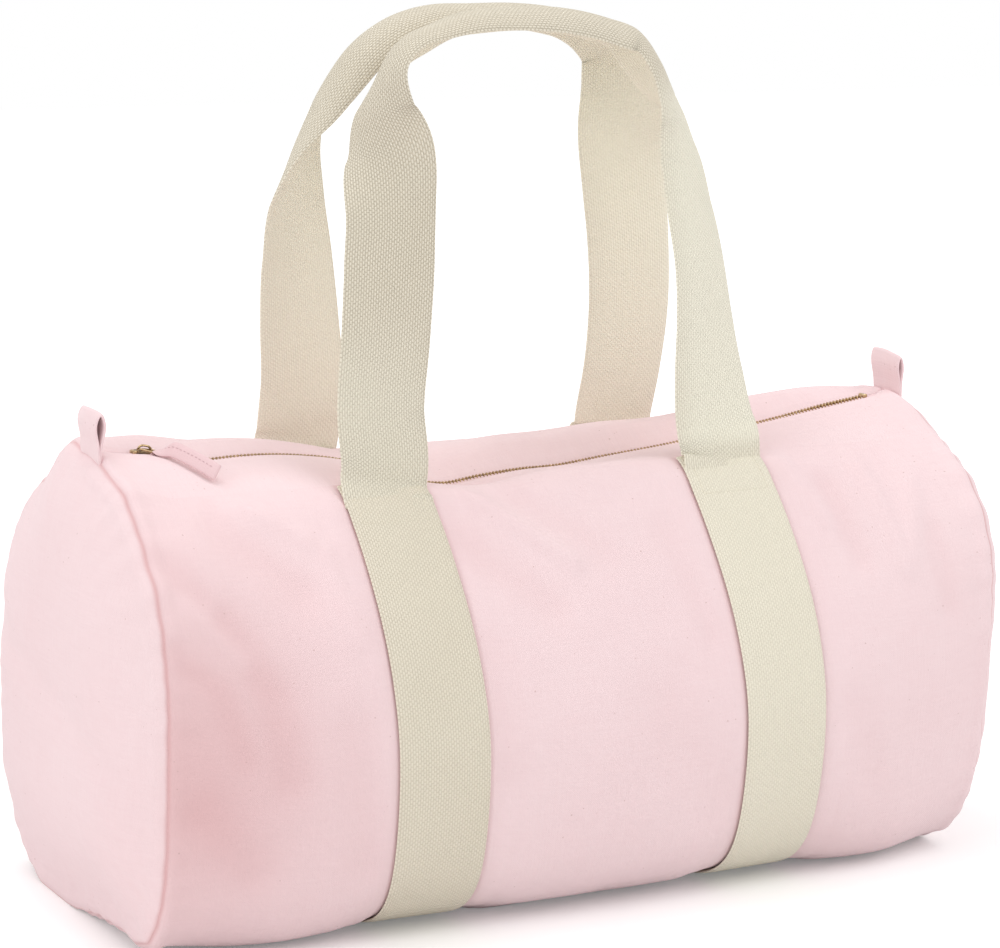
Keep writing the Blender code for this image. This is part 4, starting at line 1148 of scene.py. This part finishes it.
for name, line, outward in (("front", FRONT_LINE, -1), ("rear", REAR_LINE, 1)):
    rings, uv, reach = handle_rings(line, outward)
    handle = tube("handle_webbing_" + name, rings, WEBBING_LOOSE, uv)
    # The inner faces take the paler cream, painted light for the shade between the handles
    handle.data.materials.append(WEBBING_INNER_PAINTED_LIGHT)
    side_number = np.arange(len(handle.data.polygons)) % rings.shape[1]
    inner = (side_number >= len(half_ring) - 1).astype(np.int32)
    handle.data.polygons.foreach_set("material_index", inner)
    # Painted light: the right legs with their feet and the lower left legs are painted paler
    painted_light = smooth(0.050, 0.095, rings[..., 0]) * smooth(0.455, 0.425, rings[..., 2])
    painted_light = painted_light * smooth(0.232, 0.250, rings[..., 2])
    lower_left = smooth(-0.050, -0.090, rings[..., 0]) * smooth(0.330, 0.275, rings[..., 2])
    lowest = smooth(0.250, 0.232, rings[..., 2]) * (rings[..., 0] > 0)
    hold_value(handle.data, "painted_light", 0.85 * painted_light + 0.30 * lower_left + 0.36 * lowest)
    dress(handle, ["handle_" + name])
    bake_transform(handle)
    print("handle", name, "webbing length in metres", round(float(reach), 3))

# %% [markdown]
# ## Seam bindings
# Inside the bag each end seam is bound with a narrow tape. It shows only when the mouth is open.
# It is the body's own surface again, moved inwards by the cloth's thickness.

# %% Seam bindings
BINDING_WIDTH = 0.0110
BINDING_THICK = 0.0010
BINDING_INSET = 0.0030

for side_name, side_way in (("left", -1), ("right", 1)):
    near_end = HALF_LENGTH - BINDING_INSET
    rows = np.sort(side_way * np.linspace(near_end - BINDING_WIDTH, near_end, 6))
    v = np.linspace(0.002, 2 * HALF_ROUND - 0.002, 160)
    cloth = side_surface(rows, v)
    ripple = 0.0003 * np.sin(v / 0.0035)[None, :, None]
    strip = cloth - grid_normals(cloth) * (CLOTH + 0.0014 + ripple)
    flat = join(rows[:, None], v[None, :])
    binding = shell("seam_tape_" + side_name, strip, BINDING_THICK, TAPE_CLOTH, flat)
    dress(binding, ["seam_binding_" + side_name], "bag_body")
    print("seam binding", side_name, strip.shape)

# %% [markdown]
# ## Zip tape and teeth
# A metal zip is two woven tapes with a row of teeth clamped to each edge. The teeth of one row
# stand between those of the other. A tooth is one small ring of points carried across the tape,
# and the same tooth is set down again at each step along the zip line, turned to its slope.

# %% Zip tape and teeth
TAPE_DROP = CLOTH + 0.0004
TAPE_EDGE = 0.0003
TAPE_THICK = 0.0007
TOOTH_STEP = 0.0021
TEETH_END = {"left": 0.2190, "right": 0.2322}
TOOTH_DROP = 0.0007
TOOTH_EDGE = 0.0002


def zip_slope(x):
    """The slope of the zip line."""
    return (zip_height(x + 0.0005) - zip_height(x - 0.0005)) / 0.001


def tooth_shape(way):
    """One tooth: an eight-sided bar across the tape, swollen at its head and round at its ends."""
    turn = np.linspace(0, 2 * pi, 8, endpoint=False) + pi / 8
    stops = np.array([-0.0010, -0.0008, 0.0, 0.0008, 0.0018, 0.0021])[:, None]
    half_long = np.array([0.00022, 0.00036, 0.00040, 0.00034, 0.00036, 0.00020])[:, None]
    half_high = np.array([0.0005, 0.0010, 0.0013, 0.0013, 0.0012, 0.0007])[:, None]
    shape = join(np.cos(turn) * half_long, stops * way, np.sin(turn) * half_high)
    return shape[:, ::-1] if way > 0 else shape


def tooth_drop(x):
    """How far the teeth's middle lies below the zip line: they stand up where the zip gapes."""
    gapes = bell(x + 0.015, 0.075) + 0.8 * bell(x - 0.215, 0.022)
    return TOOTH_DROP + 0.0009 * (1 - np.minimum(gapes, 1))


def teeth_row(name, way, x):
    """Teeth at the places x, each turned to the zip line's slope."""
    tooth_x, tooth_y, tooth_z = np.moveaxis(tooth_shape(way), -1, 0)
    tilt = np.arctan(zip_slope(x))[:, None, None]
    height = (zip_height(x) - tooth_drop(x))[:, None, None]
    px = x[:, None, None] + tooth_x * np.cos(tilt) - tooth_z * np.sin(tilt)
    pz = height + tooth_x * np.sin(tilt) + tooth_z * np.cos(tilt)
    points = lean(join(px, tooth_y + way * TOOTH_EDGE, pz))
    return many_tubes(name, points, BRASS, 40)


def tape_piece(name, way, rows):
    """One half of a tape: the top cloth's own height, lowered, and raised to the teeth at its edge."""
    y = way * np.array([TAPE_EDGE, 0.0016, 0.0030, 0.0060, 0.0100, 0.0160])
    tape_x, tape_y = np.meshgrid(rows, y, indexing="ij")
    raised = 0.0011 * smooth(0.0030, 0.0017, abs(tape_y))
    tape = lean(join(tape_x, tape_y, top_height(tape_x, tape_y) - TAPE_DROP + raised))
    flat = join(tape_x, tape_y)
    if grid_normals(tape)[..., 2].mean() < 0:
        tape, flat = tape[:, ::-1], flat[:, ::-1]
    return shell(name, tape, TAPE_THICK, TAPE_CLOTH, flat)


for side_name, way in (("front", -1), ("rear", 1)):
    for end_name, end_way, bend in (("left", -1, LEFT_BEND), ("right", 1, RIGHT_BEND)):
        first = 0.25 if way * end_way < 0 else 0.75
        x = end_way * np.arange(first * TOOTH_STEP, TEETH_END[end_name], TOOTH_STEP)
        teeth = teeth_row(f"teeth_{side_name}_{end_name}", way, x)
        dress(teeth, ["zip_teeth_" + side_name])
        bend_mouth(teeth)
        rows = np.sort(end_way * np.linspace(0.0, HALF_LENGTH - 0.001, 110))
        tape = tape_piece(f"tape_{side_name}_{end_name}", way, rows)
        dress(tape, ["zip_tape_" + side_name, "zip_end_" + end_name])
        bend_mouth(tape)
        print("teeth", side_name, end_name, len(x))

# %% [markdown]
# ## Slider, bridge, ring and stops
# The slider is two small plates joined by a post, wide at its mouth and narrow at its tail. A
# round staple on its back holds a ring, and the cloth pull hangs from the ring. Each is an
# outline with rounded corners carried through its thickness, or a wire carried round a line.

# %% Brass parts
SLIDER_X = 0.214
SLIDER_LIFT = 0.0034
RING_REACH = 0.0095
PULL_TURN = radians(62)
PULL_DROP = radians(-0.5)
PLATE_HALF_LONG = 0.0056
PLATE_HALF_WIDE = 0.0043
PLATE_HEIGHT = 0.00135
PLATE_GAP = 0.0029
STAPLE_HALF_SPAN = 0.0036
STAPLE_RISE = 0.0029
STAPLE_RADIUS = 0.00062
RING_HALF_WIDE = 0.0049
RING_RADIUS = 0.00055
STOP_RADIUS = 0.0012
STOP_INNER = 0.0004
STOP_OUTER = 0.0030
END_STOP_X = 0.2340
TOP_STOP_X = -0.2222


def slider_place(local):
    """Points about the zip's lowest place, carried along the arc to the slider's rest."""
    turn = -asin(SLIDER_X / ARC_RADIUS)
    below = local[..., 2] - ARC_RADIUS
    x = local[..., 0] * cos(turn) - below * sin(turn)
    z = ZIP_LOW + ARC_RADIUS + local[..., 0] * sin(turn) + below * cos(turn)
    return join(x, local[..., 1], z + SLIDER_LIFT)


def plate_rings(outline, heights, shrinks):
    """A flat outline at several heights, drawn in a little at each so that its edges are round."""
    middle = outline.mean(axis=0)
    drawn = middle + (outline - middle) * (1 - np.array(shrinks)[:, None, None])
    height = np.broadcast_to(heights[:, None, None], drawn.shape[:2] + (1,))
    return np.concatenate([drawn, height], axis=-1)


def square_round(turn, power_x, power_y):
    """A circle's two parts, each swollen by a power, so that its corners fill out."""
    return swollen(np.cos(turn), power_x), swollen(np.sin(turn), power_y)


def slider_outline(count=48):
    """The plate's outline: wide where the rows part, narrower at the tail, with round corners."""
    x, y = square_round(np.linspace(0, 2 * pi, count, endpoint=False), 0.45, 0.55)
    narrow = 1 - 0.16 * np.clip(-x, -0.3, 1)
    return join(x * PLATE_HALF_LONG, y * PLATE_HALF_WIDE * narrow)


def wire(name, path, radius, place, closed=False, flat=1.0):
    """A round wire along a line: a small circle in the plane across the line at each point."""
    step = np.roll(path, -1, axis=0) - np.roll(path, 1, axis=0) if closed else np.gradient(path, axis=0)
    forward = unit(step)
    side = unit(np.cross(forward, np.array([0.12, 0.07, 1.0])))
    up = np.cross(side, forward)
    turn = np.linspace(0, 2 * pi, 12, endpoint=False)[:, None]
    circle = side[:, None] * np.cos(turn) * flat + up[:, None] * np.sin(turn)
    return tube(name, place(path[:, None] + circle * radius), BRASS, crease=40, closed=closed)


plate = slider_outline()
low_face = -CLOTH + 0.0009
heights = np.array([0.0, 0.0002, 0.0011, PLATE_HEIGHT])
top_plate = plate_rings(plate, low_face + heights, (0.06, 0.0, 0.0, 0.07))
foot_plate = plate_rings(plate, low_face - PLATE_GAP - heights[::-1], (0.07, 0.0, 0.0, 0.06))
post = plate_rings(plate * np.array([0.22, 0.10]), low_face + np.array([-0.0030, 0.0004]), (0, 0))
slider = many_tubes("slider_plates", [slider_place(part) for part in (top_plate, foot_plate, post)],
                    BRASS_DARK, 40)
dress(slider, ["zip_slider"], "slider")

rise = np.linspace(0, pi, 28)
staple_x, staple_z = square_round(rise, 0.7, 0.75)
staple_foot = low_face + PLATE_HEIGHT - 0.0001
staple = join(STAPLE_HALF_SPAN * staple_x, 0 * rise, staple_foot + STAPLE_RISE * staple_z)
bridge = wire("slider_staple", staple, STAPLE_RADIUS, slider_place, flat=1.5)
dress(bridge, ["slider_bridge"], "slider")

# The ring and the pull lie on directions of their own, turned from the zip line
ring_height = low_face + PLATE_HEIGHT + 0.0008
way_out = np.array([cos(PULL_TURN) * cos(PULL_DROP), -sin(PULL_TURN) * cos(PULL_DROP), -sin(PULL_DROP)])
bar_way = np.array([sin(PULL_TURN), cos(PULL_TURN), 0.0])
up_way = np.cross(way_out, bar_way)


def on_pull(local):
    """Points at distances along the pull, along its bar and above it."""
    turned = local[..., :1] * way_out + local[..., 1:2] * bar_way + local[..., 2:] * up_way
    return slider_place(turned + np.array([0, 0, ring_height]))


turn = np.linspace(0, 2 * pi, 72, endpoint=False)
ring_out, ring_side = square_round(turn, 0.4, 0.4)
ring_line = join(RING_REACH / 2 * (1 + ring_out), RING_HALF_WIDE * ring_side, 0 * turn)
ring = wire("ring_wire", ring_line, RING_RADIUS, on_pull, closed=True)
dress(ring, ["pull_ring"], "ring")


def stop_bar(name, x, y_low, y_high):
    """A stop: a short bar with round edges across the rows' ends."""
    out, up = square_round(np.linspace(0, 2 * pi, 16, endpoint=False), 0.5, 0.5)
    stops = np.array([y_low, y_low + 0.0002, (y_low + y_high) / 2, y_high - 0.0002, y_high])[:, None]
    swell = STOP_RADIUS * np.array([0.7, 1.0, 1.0, 1.0, 0.7])[:, None]
    rings = lean(join(x + out * swell, stops, zip_height(x) - TOOTH_DROP + up * swell))
    return tube(name, rings, BRASS, crease=40)


end_stop = stop_bar("end_stop", END_STOP_X, -STOP_OUTER, STOP_OUTER)
dress(end_stop, ["zip_bottom_stop"], "bag_body")
for side_name, way in (("front", -1), ("rear", 1)):
    y_low, y_high = sorted((way * STOP_INNER, way * STOP_OUTER))
    top_stop = stop_bar(side_name + "_stop", TOP_STOP_X, y_low, y_high)
    dress(top_stop, ["zip_top_stop_" + side_name])
    bend_mouth(top_stop)
print("brass pieces on the slider, the ring and the rows' ends")

# %% [markdown]
# ## The cloth pull
# The pull is a short strip of the bag's canvas, folded round the ring's far bar and sewn
# together with a row of running stitches. It lies loosely on the sloping front cloth, so it
# rolls about its own line, and its two layers part a little where they leave the bar.

# %% Cloth pull and its stitches
PULL_LENGTH = 0.0415
PULL_HALF = 0.0044
PULL_HALF_THICK = 0.00045
THREAD_RADIUS = 0.00022
PULL_ROLL = radians(64)
PULL_STITCH = 0.0020
STITCH_LIFT = 0.00005
STITCH_SIDE = 0.0012
LAYER_GAP = 0.00055


def edge_on(line, ring_up, way=1):
    """A closed strip seen from its edge: the line moved along its normal by the ring's heights."""
    step = unit(np.roll(line, -1, axis=0) - np.roll(line, 1, axis=0)) * way
    return line[:, :1] - step[:, 1:] * ring_up, line[:, 1:] + step[:, :1] * ring_up


def pull_line():
    """The strip's middle line seen from its edge: round the bar, along, round the tip and back."""
    head = np.linspace(-pi / 2, pi / 2, 14)
    tip = np.linspace(pi / 2, 3 * pi / 2, 12)
    along = np.linspace(0, 1, 40)[1:-1]
    gap = LAYER_GAP * (1 + bell(along, 0.10))
    top = join(along * PULL_LENGTH, gap)
    low = join(along[::-1] * PULL_LENGTH, -gap[::-1])
    start = 2 * LAYER_GAP * join(-np.cos(head), np.sin(head))
    end = join(PULL_LENGTH - LAYER_GAP * np.cos(tip), LAYER_GAP * np.sin(tip))
    return np.concatenate([start, top, end, low])


def pull_lies(way, bar, up):
    """The loose strip bends down onto the cloth and rolls about its own line to lie on the slope.

    The roll grows along the strip, and the drop is the share of the way to the power 1.6.
    """
    share = np.clip(way / PULL_LENGTH, 0, 1.05)
    roll = PULL_ROLL * smooth(-0.10, 0.24, share)
    drop = 0.0072 * share ** 1.6 - 0.0042 * smooth(0.0, 0.28, share)
    side = bar * np.cos(roll) - up * np.sin(roll)
    rise = bar * np.sin(roll) + up * np.cos(roll) - drop
    return on_pull(join(RING_REACH + way, side, rise))


line = pull_line()
across = np.array([-1, -0.985, -0.94, -0.6, -0.2, 0.2, 0.6, 0.94, 0.985, 1.0])
ring_across, ring_up = flat_ring(across, 12)
flat_way, flat_up = edge_on(line, ring_up * PULL_HALF_THICK)
strip = pull_lies(flat_way, ring_across[None, :] * PULL_HALF, flat_up)
uv = join(way_along(line)[:, None], ring_across[None, :] * PULL_HALF)
pull = tube("pull_strip", strip, PULL_CANVAS, uv, closed=True)
dress(pull, ["pull_tab"], "pull")


def stitches(name, centres, ahead, above, finish, length):
    """Short stitches: at each centre a small capsule that lies along the seam and dips at its ends.

    ahead holds points a little further along the seam, and above the way out of the cloth.
    """
    forward, up = unit(ahead - centres)[:, None], unit(above)[:, None]
    side = unit(np.cross(forward, up))
    stops = np.array([-1.0, -0.86, -0.45, 0.0, 0.45, 0.86, 1.0])[:, None]
    swell = THREAD_RADIUS * np.array([0.25, 0.75, 1.0, 1.0, 1.0, 0.75, 0.25])[:, None, None]
    middle = centres[:, None] + forward * stops * length / 2 - up * THREAD_RADIUS * 1.1 * stops ** 4
    turn = np.linspace(0, 2 * pi, 8, endpoint=False)[:, None]
    circle = side[:, None] * np.cos(turn) + up[:, None] * np.sin(turn)
    return many_tubes(name, middle[:, :, None] + circle * swell, finish, 60)


way = np.linspace(0.0045, PULL_LENGTH - 0.004, 13)
for name, sign in (("upper", 1), ("lower", -1)):
    height = sign * (LAYER_GAP + PULL_HALF_THICK + STITCH_LIFT)
    centres = pull_lies(way, STITCH_SIDE, height)
    ahead = pull_lies(way + 0.001, STITCH_SIDE, height)
    above = pull_lies(way, STITCH_SIDE, height + sign * 0.001) - centres
    row = stitches("pull_stitches_" + name, centres, ahead, above, PINK_THREAD, PULL_STITCH)
    dress(row, [], "pull")
print("pull", strip.shape, "stitches on each face", len(way))

# %% [markdown]
# ## End loops
# A loop of folded canvas stands on each end seam, to hold the bag by while the zip is pulled. It
# is a strip whose two ends are caught in the seam, so it is narrow at its foot and opens into a
# soft round head.

# %% End loops
TAB_WIDTH = 0.029
TAB_RISE = 0.0245
TAB_HALF_THICK = 0.00085
# Each row: name, way along the bag, middle, half width of the head, lean out and to the rear, slant
TABS = (("left", -1, -0.0075, 0.0031, 0.0008, 0.0, 0.0012),
        ("right", 1, -0.0010, 0.0022, 0.0004, 0.002, -0.0010))


def end_loop(side, middle_y, head, lean_out, lean_rear, slant):
    """A loop's rings: an edge-on teardrop carried across the strip's width.

    The teardrop is a circle whose sideways part is squeezed near its foot. Each place across
    the strip starts at the seam's own height, and the head leans a little out and to the rear.
    """
    turn = np.linspace(-pi / 2, 3 * pi / 2, 120, endpoint=False)
    rise_share = (1 + np.sin(turn)) / 2
    sideways_share = np.cos(turn) * (0.20 + 0.80 * smooth(0.25, 0.85, rise_share))
    line = join(sideways_share * head, rise_share * TAB_RISE)
    across = np.concatenate([[-1, -0.99, -0.96], np.linspace(-0.9, 0.9, 13), [0.96, 0.99, 1.0]])
    ring_across, ring_up = flat_ring(across, 20)
    flat_out, flat_rise = edge_on(line, ring_up * TAB_HALF_THICK, -1)
    share = np.clip(flat_rise / TAB_RISE, 0, 1)
    base_y = middle_y + ring_across * TAB_WIDTH / 2
    base_x = np.full_like(base_y, side * HALF_LENGTH)
    foot = lean(join(base_x, base_y, top_height(base_x, base_y) - SEAM_DIP))
    x = foot[None, :, 0] + flat_out + lean_out * share ** 1.3
    x = x + 0.0005 * np.sin(base_y * 260)[None, :] * share
    y = foot[None, :, 1] + lean_rear * share
    z = foot[None, :, 2] - 0.0004 + flat_rise - slant * ring_across[None, :] * share
    run = way_along(line)[:, None]
    uv = join(run, ring_across[None, :] * TAB_WIDTH / 2)
    return join(x, y, z), uv


for side_name, *shape in TABS:
    rings, uv = end_loop(*shape)
    tab = tube("end_loop_" + side_name, rings, CANVAS, uv, closed=True)
    dress(tab, ["side_tab_" + side_name], "bag_body")
    print("end loop", side_name, rings.shape)

# %% [markdown]
# ## Attachment stitching
# Each handle is held to the body by a sewn rectangle just below the place where it leaves the
# band. The stitches are short capsules laid end to end round that rectangle, on the webbing's
# own face.

# %% Attachment stitching
ATTACH_STITCH = 0.0025
ATTACH_PITCH = 0.0031
ATTACH_WIDTH = 0.040
# How far below the band's end the rectangle starts and stops
ATTACH_TOP, ATTACH_FOOT = 0.008, 0.032
FINE_STEP = 0.0005


def face_points(centre, u, v):
    """Points on a band's outer face, at distances u across it and v along it, with its normal."""
    line = np.linspace(0.0, 0.05, 60)
    line = line if v.max() < HALF_ROUND else 2 * HALF_ROUND - line[::-1]
    place = (v - line[0]) / (line[1] - line[0])
    low = np.clip(place.astype(int), 0, len(line) - 2)
    part = (place - low)[:, None]
    spot = np.arange(len(v))
    read = []
    for grid in band_face(centre, line):
        rows = between_rows(grid, 2 * u / WEBBING_WIDTH)
        read.append(rows[spot, low] * (1 - part) + rows[spot, low + 1] * part)
    up = unit(read[1])
    return read[0] + up * (WEBBING_LIFT + WEBBING + STITCH_LIFT), up


def rectangle_run(width, low, high, step):
    """Centres and directions of stitches laid end to end round a rectangle."""
    half = width / 2
    corners = np.array([(-half, low), (half, low), (half, high), (-half, high), (-half, low)])
    spots, ways = [], []
    for a, b in zip(corners[:-1], corners[1:]):
        count = int(np.linalg.norm(b - a) / step)
        share = (np.arange(count) + 0.5) / count
        spots.append(a + (b - a) * share[:, None])
        ways.append(np.repeat([unit(b - a)], count, axis=0))
    return np.concatenate(spots), np.concatenate(ways)


spots, ways = rectangle_run(ATTACH_WIDTH, ATTACH_TOP, ATTACH_FOOT, ATTACH_PITCH)
for side_name, centre in (("left", -BAND_CENTRE), ("right", BAND_CENTRE)):
    for place in ("front", "rear"):
        v = spots[:, 1] if place == "front" else 2 * HALF_ROUND - spots[:, 1]
        way_v = ways[:, 1] if place == "front" else -ways[:, 1]
        centres, up = face_points(centre, spots[:, 0], v)
        ahead_u = spots[:, 0] + ways[:, 0] * FINE_STEP
        ahead = face_points(centre, ahead_u, v + way_v * FINE_STEP)[0]
        name = f"attach_thread_{place}_{side_name}"
        thread = stitches(name, centres, ahead, up, CREAM_THREAD, ATTACH_STITCH)
        dress(thread, [f"attach_stitch_{place}_{side_name}"], "bag_body")
print("stitches in each rectangle", len(spots))
